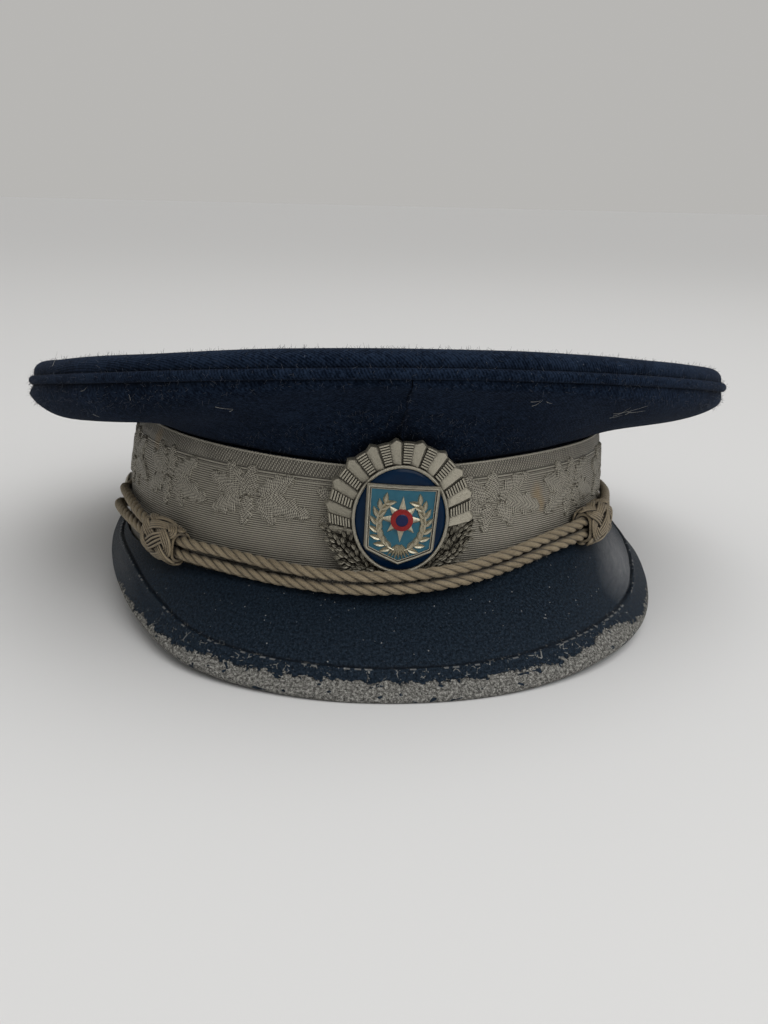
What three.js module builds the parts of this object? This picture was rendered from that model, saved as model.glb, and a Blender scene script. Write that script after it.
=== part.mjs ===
// Peaked police service cap: cloth crown with piping, braided band, coated peak,
// doubled chin cord with two knots, side buttons and an enamelled metal badge.
// Millimetres, +Z up, the front of the cap faces -Y. Shapes are worked out in the
// frame of the band's lower edge, and the whole cap is then tipped back until it
// rests on the band's rear edge and the front of the peak.
import * as THREE from 'three';
import { mergeVertices } from 'three/addons/utils/BufferGeometryUtils.js';

const { degToRad, smoothstep, lerp } = THREE.MathUtils;

// Band: outer face of the braid, as an ellipse, and how far the face stands out from it
// along its lower and upper edge. The upper edge dips behind the badge.
const bandHalfWidth = 87.5;
const bandHalfLength = 104;
const bandHeight = { front: 42, right: 43.7, back: 44.4, left: 48 };
const bandDip = { depth: 1.8, width: degToRad(24) };
const lowerEdgeOut = { front: 1.6, right: -0.4, back: 1.6, left: 5 };
const upperEdgeOut = { front: 0, right: -0.8, back: 0, left: -2 };
const flarePower = 0.5;
const bandWall = 2.4;
const bandEdge = 0.5;
const braidWall = 1;
const braidBottom = 1.8;
const braidMargin = 0.6;

// How the cap rests: it tips back by this angle, and its cloth and peak are pressed flat
const restTilt = degToRad(4.9);
const pressedFlat = 1;

// Crown: overhang beyond the braid and height of the piping above the band's lower edge
const crownOverhang = { front: 27, right: 42.7, back: 24.5, left: 35.9 };
const pipingHeight = { front: 69.7, right: 55.8, back: 51.2, left: 57 };
const sideBulge = { front: 0, right: 1.2, back: 0, left: 2.3 };
const pipingRadius = 1.6;
const clothWall = 1.8;
const crownCentreHeight = 66.3;
const crownSlope = 1.3;

// Outer face of the quarters, from the band up to the piping: reach is the share of the
// overhang, puff the share of the side bulge, and the other columns are the share of the
// quarter's height at each side, below 0 where the cloth droops under its seam
const quarterRows = [
  { name: 'band seam', reach: 0, puff: 0, front: 0, right: 0, back: 0, left: 0 },
  { name: 'lower', reach: 0.17, puff: 0, front: 0.3, right: 0.03, back: 0.12, left: 0.12 },
  { name: 'middle', reach: 0.42, puff: 0, front: 0.57, right: 0.05, back: 0.24, left: 0.02 },
  { name: 'upper', reach: 0.67, puff: 0, front: 0.77, right: 0.17, back: 0.4, left: -0.18 },
  { name: 'shoulder', reach: 0.86, puff: 0.3, front: 0.88, right: 0.38, back: 0.58, left: -0.02 },
  { name: 'turn', reach: 0.96, puff: 0.8, front: 0.925, right: 0.6, back: 0.76, left: 0.4 },
  { name: 'edge', reach: 0.99, puff: 1, front: 0.95, right: 0.8, back: 0.86, left: 0.7 },
];

// Rolled edge of the top panel: distance in from the piping's centre line and up from it
const rollRows = [
  { inward: 0.3, up: 1.9 },
  { inward: 0.2, up: 3.2 },
  { inward: 1, up: 4.9 },
  { inward: 2.9, up: 6.1 },
  { inward: 6, up: 6.6 },
];
const topRings = [0.72, 0.4, 0.14];

// Peak: at each angle from the front, its outer edge as reach beyond the braid and drop,
// and the height of its root on the braid's face, which climbs towards both ends
const peakRows = [
  { angle: -88, reach: 8.1, drop: -4.4, root: 5.6 },
  { angle: -83, reach: 9.4, drop: -1.5, root: 5.2 },
  { angle: -76, reach: 10.5, drop: 0.9, root: 4.6 },
  { angle: -68, reach: 12.3, drop: 2.7, root: 4 },
  { angle: -58, reach: 16, drop: 4.7, root: 3.5 },
  { angle: -45, reach: 22.8, drop: 9.1, root: 3.3 },
  { angle: -30, reach: 31.4, drop: 14.9, root: 2.8 },
  { angle: -15, reach: 34, drop: 18.1, root: 1.9 },
  { angle: 0, reach: 34.4, drop: 19.1, root: 1.5 },
  { angle: 15, reach: 34, drop: 18.1, root: 3.8 },
  { angle: 30, reach: 31.8, drop: 14.9, root: 7.2 },
  { angle: 45, reach: 26.3, drop: 11.4, root: 9.4 },
  { angle: 58, reach: 19.3, drop: 6.1, root: 9.9 },
  { angle: 68, reach: 14.1, drop: 2.4, root: 10.2 },
  { angle: 76, reach: 10.6, drop: 0, root: 10.4 },
  { angle: 83, reach: 8.6, drop: -2.3, root: 10.4 },
  { angle: 88, reach: 6.3, drop: -4.3, root: 10.2 },
];
const peakWall = 2.2;
const peakCurl = 0.18;
const peakSteps = 36;

// Chin cord: one loop of round cord, laid double across the front. Each row gives, at an
// angle from the front, the height midway between the strands, how far they stand off the
// braid, half the distance between them and how far the lower one leans out
const cordRadius = 1.8;
const cordRows = [
  { angle: -100, height: 12, lift: 0, spread: 4.3, lean: 0 },
  { angle: -92, height: 12.4, lift: 0, spread: 3.1, lean: 0 },
  { angle: -80, height: 16, lift: 1.2, spread: 2.8, lean: 0.8 },
  { angle: -72, height: 16.5, lift: 1.4, spread: 2.5, lean: 0.9 },
  { angle: -65, height: 15.9, lift: 1.9, spread: 2.2, lean: 0.6 },
  { angle: -56, height: 13.9, lift: 2.9, spread: 2.1, lean: 0 },
  { angle: -43, height: 10.4, lift: 2.9, spread: 2.1, lean: 0 },
  { angle: -37, height: 9.6, lift: 1.6, spread: 2.2, lean: 0 },
  { angle: -32, height: 8.8, lift: 0.8, spread: 2.3, lean: 0 },
  { angle: -22, height: 7.4, lift: 1, spread: 2.1, lean: 0 },
  { angle: -10, height: 6.9, lift: 4, spread: 1.95, lean: 0 },
  { angle: 0, height: 7.2, lift: 4.4, spread: 1.95, lean: 0 },
  { angle: 10, height: 8.6, lift: 4, spread: 1.95, lean: 0 },
  { angle: 22, height: 10.8, lift: 1, spread: 1.95, lean: 0 },
  { angle: 32, height: 13.6, lift: 0.8, spread: 1.95, lean: 0 },
  { angle: 43, height: 16.1, lift: 2.9, spread: 2.1, lean: 0 },
  { angle: 53, height: 17.4, lift: 2.9, spread: 2.1, lean: 0 },
  { angle: 64, height: 17.9, lift: 0.8, spread: 2.1, lean: 0 },
  { angle: 76, height: 17.2, lift: 0.5, spread: 2.3, lean: 0 },
  { angle: 86, height: 16.6, lift: 0.2, spread: 3, lean: 0 },
  { angle: 100, height: 16, lift: 0, spread: 4.3, lean: 0 },
];
const knotAngles = { left: -49, right: 47.5 };
const knotLength = 18.5;
const knotWall = 2.3;
const knotClearance = 0.6;
const knotEnd = 0.55;
const knotGroove = 0.75;
const buttonAngle = 100;
const turnRadius = 4.3;

// Badge: height of its centre, its lean away from the band, and its sizes
const badgeHeight = 28;
const badgeLean = degToRad(4.8);
const badgeStandOff = 2;
const badgeCurve = 82;
const wreath = { halfWidth: 22.4, halfHeight: 22.2, pairs: 18, back: 1.1, relief: 1.3 };
const rayShape = { point: 0.07, valley: 0.35 };
const leafShape = { point: 0.07, valley: 0.55 };
const leafyFrom = { start: 0.05, end: 0.35 };
const disc = { halfWidth: 14.2, halfHeight: 16.4, up: -2.2, thickness: 2.2, bezel: 1.1, crest: 0.15 };

// Each pair of panels round the ring: a low one, then a raised one that runs out to a point
const panelPair = [
  { ridge: 0, tip: 0 },
  { ridge: 0.1, tip: 0 },
  { ridge: 0, tip: 0 },
  { ridge: 0.75, tip: 0.15 },
  { ridge: 1, tip: 1 },
  { ridge: 0.75, tip: 0.15 },
];

// The shield sits turned a little on its disc; its half outline is in shares of its size
const shield = { halfWidth: 10.8, top: 10.8, height: 24.2, thickness: 1.1, border: 1.3, standOff: 0.55 };
const shieldTurn = degToRad(3.5);
const shieldHalf = [
  { across: 0.5, down: 0 },
  { across: 1, down: 0 },
  { across: 0.98, down: 0.4 },
  { across: 0.955, down: 0.79 },
  { across: 0.9, down: 0.83 },
  { across: 0.5, down: 0.91 },
];
const star = { points: 8, long: 6.2, short: 4.4, waist: 2.2, thickness: 0.9, crest: 0.45, up: 0.6 };

const gap = 0.3;
const crownSteps = 64;
const fullTurn = 2 * Math.PI;

// A value with front, right, back and left columns, at an angle measured from the front
function around(row, angle) {
  const lengthwise = (row.front + row.back) / 2;
  const sideways = lerp(row.left, row.right, (1 + Math.sin(angle)) / 2);
  const forward = ((row.front - row.back) / 2) * Math.cos(angle);
  return lerp(lengthwise, sideways, Math.sin(angle) ** 2) + forward;
}

// A point beside the band: out is measured square to the braid's face
function beside(angle, out, up) {
  const across = bandHalfLength * Math.sin(angle);
  const along = -bandHalfWidth * Math.cos(angle);
  const norm = Math.hypot(across, along);
  return new THREE.Vector3(
    bandHalfWidth * Math.sin(angle) + (across / norm) * out,
    -bandHalfLength * Math.cos(angle) + (along / norm) * out,
    up,
  );
}

// Height of the band's upper edge
function bandTop(angle) {
  const fromFront = Math.atan2(Math.sin(angle), Math.cos(angle)) / bandDip.width;
  return around(bandHeight, angle) - bandDip.depth * Math.exp(-(fromFront ** 2));
}

// How far the braid's face stands out from its ellipse at an angle and a height
function flareAt(angle, up) {
  const down = Math.max(1 - up / bandTop(angle), 0) ** flarePower;
  return lerp(around(upperEdgeOut, angle), around(lowerEdgeOut, angle), down);
}

// Height of the table under the tipped cap
function tableAt(y) {
  return pressedFlat - (bandHalfLength - y) * Math.tan(restTilt);
}

// A closed body from a grid of points: each ring is a closed outline, and the rings
// either close on themselves or end in flat caps
function skin(rings, closed) {
  const count = rings[0].length;
  const points = rings.flat();
  const faces = [];
  const spans = closed ? rings.length : rings.length - 1;
  for (let i = 0; i < spans; i += 1) {
    const here = i * count;
    const next = ((i + 1) % rings.length) * count;
    for (let j = 0; j < count; j += 1) {
      const k = (j + 1) % count;
      faces.push(here + j, next + j, next + k, here + j, next + k, here + k);
    }
  }
  if (!closed) {
    for (const [start, flip] of [[0, false], [(rings.length - 1) * count, true]]) {
      const outline = rings[start / count];
      const middle = new THREE.Vector3();
      outline.forEach((point) => middle.addScaledVector(point, 1 / count));
      points.push(middle);
      for (let j = 0; j < count; j += 1) {
        const k = (j + 1) % count;
        const [a, b] = flip ? [k, j] : [j, k];
        faces.push(points.length - 1, start + a, start + b);
      }
    }
  }
  return solid(points, faces);
}

// Indexed points to a geometry with merged corners, turned outwards if it is inside out
function solid(points, faces) {
  let volume = 0;
  const cross = new THREE.Vector3();
  for (let i = 0; i < faces.length; i += 3) {
    cross.crossVectors(points[faces[i + 1]], points[faces[i + 2]]);
    volume += points[faces[i]].dot(cross);
  }
  const turned = volume < 0 ? faces.slice().reverse() : faces;
  const geometry = new THREE.BufferGeometry().setFromPoints(points);
  geometry.setIndex(turned);
  const merged = mergeVertices(geometry, 1e-4);
  merged.computeVertexNormals();
  return merged;
}

// A ring round the cap whose section is a list of [out, up] pairs at each angle
function ringAround(sectionAt, steps) {
  const rings = [];
  for (let i = 0; i < steps; i += 1) {
    const angle = (i / steps) * fullTurn;
    rings.push(sectionAt(angle).map(([out, up]) => beside(angle, out, up)));
  }
  return skin(rings, true);
}

// The second face of a wall: a profile of [out, up] pairs moved square to itself
function innerFace(profile, wall) {
  return profile.map(([out, up], i) => {
    const before = profile[Math.max(i - 1, 0)];
    const after = profile[Math.min(i + 1, profile.length - 1)];
    const run = after[0] - before[0];
    const rise = after[1] - before[1];
    const length = Math.hypot(run, rise);
    return [out - (rise / length) * wall, up + (run / length) * wall];
  });
}

function pressToTable(rings) {
  for (const point of rings.flat()) {
    point.z = Math.max(point.z, tableAt(point.y));
  }
  return rings;
}

function bandShape() {
  const outer = -braidWall - gap;
  const inner = outer - bandWall;
  const rings = [];
  for (let i = 0; i < crownSteps; i += 1) {
    const angle = (i / crownSteps) * fullTurn;
    const top = bandTop(angle);
    const section = [
      [inner, bandEdge],
      [inner + bandEdge, 0],
      [outer - bandEdge, 0],
      [outer, bandEdge],
      [outer, top / 2],
      [outer, top],
      [inner, top],
      [inner, top / 2],
    ];
    rings.push(section.map(([out, up]) => beside(angle, out + flareAt(angle, up), up)));
  }
  return skin(pressToTable(rings), true);
}

function braidShape() {
  return ringAround((angle) => {
    const top = bandTop(angle) - braidMargin;
    const heights = [braidBottom, top / 2, top];
    const face = heights.map((up) => [flareAt(angle, up), up]);
    const back = heights.map((up) => [flareAt(angle, up) - braidWall, up]);
    return [...face, ...back.reverse()];
  }, crownSteps);
}

// The quarters' wall at one angle, as a closed list of [out, up] pairs
function quarterSection(angle) {
  const overhang = around(crownOverhang, angle);
  const foot = bandTop(angle) + gap;
  const seam = around(upperEdgeOut, angle) - braidWall - gap;
  const rim = around(pipingHeight, angle) - pipingRadius - gap;
  const outer = quarterRows.map((row) => [
    lerp(seam, overhang, row.reach) + row.puff * around(sideBulge, angle),
    lerp(foot, rim, around(row, angle)),
  ]);
  outer.push([overhang - 0.1, rim]);
  const inner = innerFace(outer, clothWall);
  inner[0] = [seam - clothWall, foot];
  inner[inner.length - 1] = [overhang - 0.1 - clothWall, rim];
  return [...outer, ...inner.reverse()];
}

// One half of the crown's side, from the front seam to the back seam
function quarterShape(side) {
  const steps = crownSteps / 2;
  const rings = [];
  for (let i = 0; i <= steps; i += 1) {
    const angle = side * (i / steps) * Math.PI;
    rings.push(quarterSection(angle).map(([out, up]) => beside(angle, out, up)));
  }
  for (const ring of [rings[0], rings[steps]]) {
    ring.forEach((point) => {
      point.x = (side * gap) / 2;
    });
  }
  return skin(rings, false);
}

function pipingShape() {
  const sides = 6;
  return ringAround((angle) => {
    const out = around(crownOverhang, angle);
    const up = around(pipingHeight, angle);
    return Array.from({ length: sides }, (unused, j) => {
      const turn = (j / sides) * fullTurn;
      return [out + pipingRadius * Math.cos(turn), up + pipingRadius * Math.sin(turn)];
    });
  }, crownSteps);
}

// The top of the crown: a thin plate with a rolled edge, built as rings round its middle
function topPanelShape() {
  const points = [];
  const faces = [];
  const ringPoint = (angle, inward, up) => (
    beside(angle, around(crownOverhang, angle) - inward, around(pipingHeight, angle) + up)
  );
  const lastRoll = rollRows[rollRows.length - 1];
  const plate = (angle, share, drop) => {
    const edge = ringPoint(angle, lastRoll.inward, lastRoll.up);
    const height = lerp(crownCentreHeight, edge.z, share ** crownSlope);
    return new THREE.Vector3(edge.x * share, edge.y * share, height - drop);
  };
  const rows = [
    ...rollRows.map((row) => (angle) => ringPoint(angle, row.inward, row.up)),
    ...topRings.map((share) => (angle) => plate(angle, share, 0)),
  ];
  const underRows = [
    ...topRings.slice().reverse().map((share) => (angle) => plate(angle, share, clothWall)),
    (angle) => ringPoint(angle, lastRoll.inward, lastRoll.up - clothWall),
    (angle) => ringPoint(angle, rollRows[0].inward + clothWall, rollRows[1].up),
    (angle) => ringPoint(angle, rollRows[0].inward + clothWall, rollRows[0].up),
  ];
  const allRows = [...rows, ...underRows];
  const rowsAbove = rows.length;
  for (const row of allRows) {
    for (let i = 0; i < crownSteps; i += 1) {
      points.push(row((i / crownSteps) * fullTurn));
    }
  }
  const at = (row, step) => row * crownSteps + (step % crownSteps);
  for (let r = 0; r < allRows.length; r += 1) {
    const next = (r + 1) % allRows.length;
    if (r === rowsAbove - 1) {
      continue;
    }
    for (let i = 0; i < crownSteps; i += 1) {
      faces.push(at(r, i), at(r, i + 1), at(next, i + 1));
      faces.push(at(r, i), at(next, i + 1), at(next, i));
    }
  }
  points.push(new THREE.Vector3(0, 0, crownCentreHeight));
  points.push(new THREE.Vector3(0, 0, crownCentreHeight - clothWall));
  for (let i = 0; i < crownSteps; i += 1) {
    faces.push(at(rowsAbove - 1, i), at(rowsAbove - 1, i + 1), points.length - 2);
    faces.push(points.length - 1, at(rowsAbove, i + 1), at(rowsAbove, i));
  }
  return solid(points, faces);
}

// The coated peak: a curved plate that widens from the band to its outer edge
function peakShape() {
  const edge = new THREE.CubicInterpolant(
    peakRows.map((row) => row.angle),
    peakRows.flatMap((row) => [row.reach, row.drop, row.root]),
    3,
  );
  const first = peakRows[0].angle;
  const last = peakRows[peakRows.length - 1].angle;
  const shares = [0, 0.25, 0.5, 0.75, 1];
  const rings = [];
  for (let i = 0; i <= peakSteps; i += 1) {
    const degrees = lerp(first, last, i / peakSteps);
    const angle = degToRad(degrees);
    const [reach, drop, rootUp] = edge.evaluate(degrees);
    const root = flareAt(angle, rootUp) + gap;
    const middle = shares.map((share) => [
      lerp(root, reach, share),
      lerp(rootUp, -drop, lerp(share, share * share, peakCurl)),
    ]);
    const top = innerFace(middle, peakWall / 2);
    const under = innerFace(middle, -peakWall / 2);
    top[0][0] = root;
    under[0][0] = root;
    const nose = [middle[4][0] + peakWall / 2, middle[4][1] - peakWall / 4];
    const section = [...top, nose, ...under.reverse()];
    rings.push(section.map(([out, up]) => beside(angle, out, up)));
  }
  return skin(pressToTable(rings), false);
}

const cordTable = new THREE.CubicInterpolant(
  cordRows.map((row) => row.angle),
  cordRows.flatMap((row) => [row.height, row.lift, row.spread, row.lean]),
  4,
);

// The cord's place at an angle in degrees: strand is 1 on the upper strand and -1 on the
// lower one, and runs between them round the buttons
function cordPoint(degrees, strand) {
  const last = cordRows[cordRows.length - 1].angle;
  const held = THREE.MathUtils.clamp(degrees, -last, last);
  const [height, lift, spread, lean] = cordTable.evaluate(held);
  const up = height + spread * strand;
  const out = flareAt(degToRad(degrees), up) + gap + cordRadius + lift - lean * strand;
  return beside(degToRad(degrees), out, up);
}

// The cord's centre line: along the upper strand, round one button, back along the
// lower strand and round the other button
function cordLine() {
  const steps = 52;
  const turnSteps = 6;
  const turnAngle = THREE.MathUtils.radToDeg(turnRadius / bandHalfWidth);
  const line = [];
  for (const side of [1, -1]) {
    for (let i = 0; i <= steps; i += 1) {
      line.push({ degrees: side * lerp(-buttonAngle, buttonAngle, i / steps), strand: side });
    }
    for (let i = 1; i < turnSteps; i += 1) {
      const turn = (i / turnSteps) * Math.PI;
      line.push({
        degrees: side * (buttonAngle + turnAngle * Math.sin(turn)),
        strand: side * Math.cos(turn),
      });
    }
  }
  return line;
}

function chinCordShape() {
  const sides = 6;
  const line = cordLine();
  const centres = line.map(({ degrees, strand }) => cordPoint(degrees, strand));
  const rings = centres.map((centre, i) => {
    const before = centres[(i + centres.length - 1) % centres.length];
    const after = centres[(i + 1) % centres.length];
    const tangent = after.clone().sub(before).normalize();
    const angle = degToRad(line[i].degrees);
    const outward = beside(angle, 1, 0).sub(beside(angle, 0, 0));
    const across = new THREE.Vector3().crossVectors(tangent, outward).normalize();
    return Array.from({ length: sides }, (unused, j) => {
      const turn = ((j + 0.5) / sides) * fullTurn;
      return centre.clone()
        .addScaledVector(outward, cordRadius * Math.cos(turn))
        .addScaledVector(across, cordRadius * Math.sin(turn));
    });
  });
  return skin(rings, true);
}

// A sliding knot: a sleeve of wraps round both strands, with a slot-shaped bore
function knotShape(knotAngle) {
  const sides = 20;
  const wraps = 4;
  const lengthSteps = 2 * wraps;
  const bore = cordRadius + knotClearance;
  const middle = cordPoint(knotAngle, 0);
  const upper = cordPoint(knotAngle, 1).sub(middle);
  const alongStep = 1;
  const axis = cordPoint(knotAngle + alongStep, 0).sub(cordPoint(knotAngle - alongStep, 0)).normalize();
  const tallWay = upper.clone().addScaledVector(axis, -upper.dot(axis)).normalize();
  const deepWay = new THREE.Vector3().crossVectors(axis, tallWay);
  const bow = 1 / (2 * bandHalfLength);
  const outward = middle.clone().setZ(0).normalize();
  const rings = [];
  for (let i = 0; i < sides; i += 1) {
    const turn = ((i + 0.5) / sides) * fullTurn;
    const strand = Math.sign(Math.sin(turn)) * upper.length();
    const place = (share, wall) => {
      const along = (share - 0.5) * knotLength;
      return middle.clone()
        .addScaledVector(axis, along)
        .addScaledVector(outward, -along * along * bow)
        .addScaledVector(tallWay, strand + (bore + wall) * Math.sin(turn))
        .addScaledVector(deepWay, (bore + wall) * Math.cos(turn));
    };
    const outer = [];
    for (let k = 0; k <= lengthSteps; k += 1) {
      const share = k / lengthSteps;
      const barrel = lerp(knotEnd, 1, Math.sin(share * Math.PI));
      const groove = k % 2 === 0 ? knotGroove : 1;
      outer.push(place(share, knotWall * barrel * groove));
    }
    rings.push([...outer, place(1, 0), place(0.5, 0), place(0, 0)]);
  }
  return skin(rings, true);
}

// A plain domed side button on its shank
function buttonShape() {
  const profile = [
    [0, 0], [2.2, 0], [2.2, 4.1], [6.2, 4.1], [6.6, 4.7], [6.2, 5.4], [4.4, 6.4], [2.2, 6.9], [0, 7.1],
  ];
  return new THREE.LatheGeometry(profile.map(([r, y]) => new THREE.Vector2(r, y)), 16);
}

function closedLathe(geometry) {
  geometry.deleteAttribute('normal');
  geometry.deleteAttribute('uv');
  const merged = mergeVertices(geometry, 1e-4);
  const position = merged.getAttribute('position');
  const points = Array.from({ length: position.count }, (unused, i) => (
    new THREE.Vector3().fromBufferAttribute(position, i)
  ));
  const index = Array.from(merged.getIndex().array);
  const faces = [];
  for (let i = 0; i < index.length; i += 3) {
    const [a, b, c] = index.slice(i, i + 3);
    if (a !== b && b !== c && c !== a) {
      faces.push(a, b, c);
    }
  }
  return solid(points, faces);
}

// Badge pieces are drawn flat, x across and y up, with z out of the band, and then bent
// to the band's curve
function bent(x, y, z) {
  return new THREE.Vector3(x, y, z - (x * x) / (2 * badgeCurve));
}

// The cast ring: pleated rays above, two leafy sprigs in the lower half
function wreathShape() {
  const perPair = panelPair.length;
  const steps = wreath.pairs * perPair;
  const hole = { halfWidth: disc.halfWidth + gap, halfHeight: disc.halfHeight + gap };
  const rings = [];
  for (let i = 0; i < steps; i += 1) {
    const angle = (i / steps) * fullTurn;
    const across = Math.sin(angle);
    const up = Math.cos(angle);
    const inner = [hole.halfWidth * across, hole.halfHeight * up + disc.up];
    const leafy = smoothstep(-up, leafyFrom.start, leafyFrom.end);
    const { ridge, tip } = panelPair[i % perPair];
    const reach = 1 - lerp(rayShape.point * (1 - tip), leafShape.point * (1 - ridge), leafy);
    const outer = [wreath.halfWidth * reach * across, wreath.halfHeight * reach * up];
    const at = (share, z) => bent(lerp(inner[0], outer[0], share), lerp(inner[1], outer[1], share), z);
    const valley = lerp(rayShape.valley, leafShape.valley, leafy);
    const crest = wreath.back + wreath.relief * lerp(valley, 1, ridge);
    rings.push([
      at(0, 0),
      at(0, wreath.back + 0.5 * wreath.relief),
      at(0.3, crest * 0.92),
      at(0.72, crest),
      at(1, wreath.back + 0.25 * wreath.relief * ridge),
      at(1, 0),
    ]);
  }
  return skin(rings, true);
}

// A flat-backed plate with an outline of [x, y] pairs and rows of inset and height
function plate(outline, middle, rows, lift) {
  const count = outline.length;
  const points = [];
  const faces = [];
  const place = ([x, y], inset, z) => {
    const dx = middle[0] - x;
    const dy = middle[1] - y;
    const share = inset / Math.hypot(dx, dy);
    return bent(x + dx * share, y + dy * share, z + lift);
  };
  for (const row of rows) {
    outline.forEach((corner) => points.push(place(corner, row.inset, row.z)));
  }
  for (let r = 0; r + 1 < rows.length; r += 1) {
    for (let j = 0; j < count; j += 1) {
      const k = (j + 1) % count;
      faces.push(r * count + j, r * count + k, (r + 1) * count + k);
      faces.push(r * count + j, (r + 1) * count + k, (r + 1) * count + j);
    }
  }
  const last = (rows.length - 1) * count;
  points.push(bent(middle[0], middle[1], rows[0].z + lift));
  points.push(bent(middle[0], middle[1], rows[rows.length - 1].z + lift));
  for (let j = 0; j < count; j += 1) {
    const k = (j + 1) % count;
    faces.push(points.length - 2, k, j);
    faces.push(points.length - 1, last + j, last + k);
  }
  return solid(points, faces);
}

function discShape() {
  const corners = 36;
  const outline = Array.from({ length: corners }, (unused, i) => {
    const angle = (i / corners) * fullTurn;
    return [disc.halfWidth * Math.cos(angle), disc.halfHeight * Math.sin(angle) + disc.up];
  });
  const rows = [
    { inset: 0, z: 0 },
    { inset: 0, z: disc.thickness - disc.crest },
    { inset: disc.bezel * 0.4, z: disc.thickness + disc.crest },
    { inset: disc.bezel, z: disc.thickness - disc.crest },
  ];
  return plate(outline, [0, disc.up], rows, 0);
}

// A point on the shield's face, measured from the disc's centre and turned with the shield
function onShield(x, y) {
  const cos = Math.cos(shieldTurn);
  const sin = Math.sin(shieldTurn);
  return [x * cos + y * sin, y * cos - x * sin + disc.up];
}

// Shield outline: flat top, sides that draw in a little and a blunt point
function shieldOutline() {
  const place = ({ across, down }, side) => (
    onShield(side * across * shield.halfWidth, shield.top - down * shield.height)
  );
  const left = shieldHalf.map((corner) => place(corner, -1));
  const right = shieldHalf.map((corner) => place(corner, 1)).reverse();
  return [...left, onShield(0, shield.top - shield.height), ...right];
}

function shieldShape() {
  const rows = [
    { inset: 0, z: 0 },
    { inset: 0, z: shield.thickness * 0.6 },
    { inset: shield.border * 0.5, z: shield.thickness },
    { inset: shield.border, z: shield.thickness },
    { inset: shield.border * 1.2, z: shield.thickness - 0.4 },
  ];
  return plate(shieldOutline(), [0, disc.up], rows, disc.thickness + disc.crest + shield.standOff);
}

// A plain pointed star that stands on the shield's field
function starShape() {
  const corners = 2 * star.points;
  const outline = Array.from({ length: corners }, (unused, i) => {
    const angle = (i / corners) * fullTurn;
    const tip = i % 4 === 0 ? star.long : star.short;
    const reach = i % 2 === 0 ? tip : star.waist;
    return onShield(-reach * Math.sin(angle), reach * Math.cos(angle) + star.up);
  });
  const rows = [
    { inset: 0, z: 0 },
    { inset: 0, z: star.thickness - star.crest },
    { inset: star.waist * 0.6, z: star.thickness },
  ];
  const field = disc.thickness + disc.crest + shield.standOff + shield.thickness;
  return plate(outline, onShield(0, star.up), rows, field - 0.4 + gap);
}

function paint(color, roughness, metalness) {
  return new THREE.MeshStandardMaterial({ color, roughness, metalness });
}

const navyCloth = paint(0x141c30, 0.95, 0);
const silverBraid = paint(0x827d71, 0.7, 0.1);
const twistedCord = paint(0x8c7d64, 0.8, 0);
const coatedPeak = paint(0x141e30, 0.45, 0);
const castMetal = paint(0x96917d, 0.4, 0.9);
const blueEnamel = paint(0x0f2850, 0.2, 0);
const skyEnamel = paint(0x2d6e8c, 0.25, 0);

const cap = new THREE.Group();

function addPiece(parent, name, geometry, material) {
  const mesh = new THREE.Mesh(geometry, material);
  mesh.name = name;
  parent.add(mesh);
  return mesh;
}

addPiece(cap, 'top_panel', topPanelShape(), navyCloth);
addPiece(cap, 'piping', pipingShape(), navyCloth);
addPiece(cap, 'band', bandShape(), navyCloth);
addPiece(cap, 'braid', braidShape(), silverBraid);
addPiece(cap, 'peak', peakShape(), coatedPeak);
addPiece(cap, 'chin_cord', chinCordShape(), twistedCord);

for (const [name, side] of [['left', -1], ['right', 1]]) {
  addPiece(cap, `quarter_${name}`, quarterShape(side), navyCloth);
  addPiece(cap, `knot_${name}`, knotShape(knotAngles[name]), twistedCord);
  const button = addPiece(cap, `button_${name}`, closedLathe(buttonShape()), castMetal);
  const buttonHeight = cordPoint(side * buttonAngle, 0).z;
  const place = degToRad(side * buttonAngle);
  const seat = beside(place, flareAt(place, buttonHeight) + gap, buttonHeight);
  const outward = beside(place, 1, 0).sub(beside(place, 0, 0));
  button.position.copy(seat);
  button.quaternion.setFromUnitVectors(new THREE.Vector3(0, 1, 0), outward);
}

// The badge stands on the front of the braid and leans out over the lower crown
const badge = new THREE.Group();
badge.position.set(0, -bandHalfLength - badgeStandOff, badgeHeight - wreath.halfHeight);
badge.rotation.x = Math.PI / 2 + badgeLean;
const face = new THREE.Group();
face.position.y = wreath.halfHeight;
badge.add(face);
cap.add(badge);
addPiece(face, 'badge_wreath', wreathShape(), castMetal);
addPiece(face, 'badge_disc', discShape(), blueEnamel);
addPiece(face, 'badge_shield', shieldShape(), skyEnamel);
addPiece(face, 'badge_star', starShape(), castMetal);

// Tip the cap onto its rear edge and peak, then centre its outline over the origin
const object = new THREE.Group();
cap.rotation.x = -restTilt;
object.add(cap);
object.updateMatrixWorld(true);
const bounds = new THREE.Box3().setFromObject(object, true);
cap.position.set(
  -(bounds.min.x + bounds.max.x) / 2,
  -(bounds.min.y + bounds.max.y) / 2,
  -bounds.min.z,
);

export default object;
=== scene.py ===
import math
import random
from functools import partialmethod

import bpy
import numpy as np
from mathutils import Matrix, Vector, noise


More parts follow.
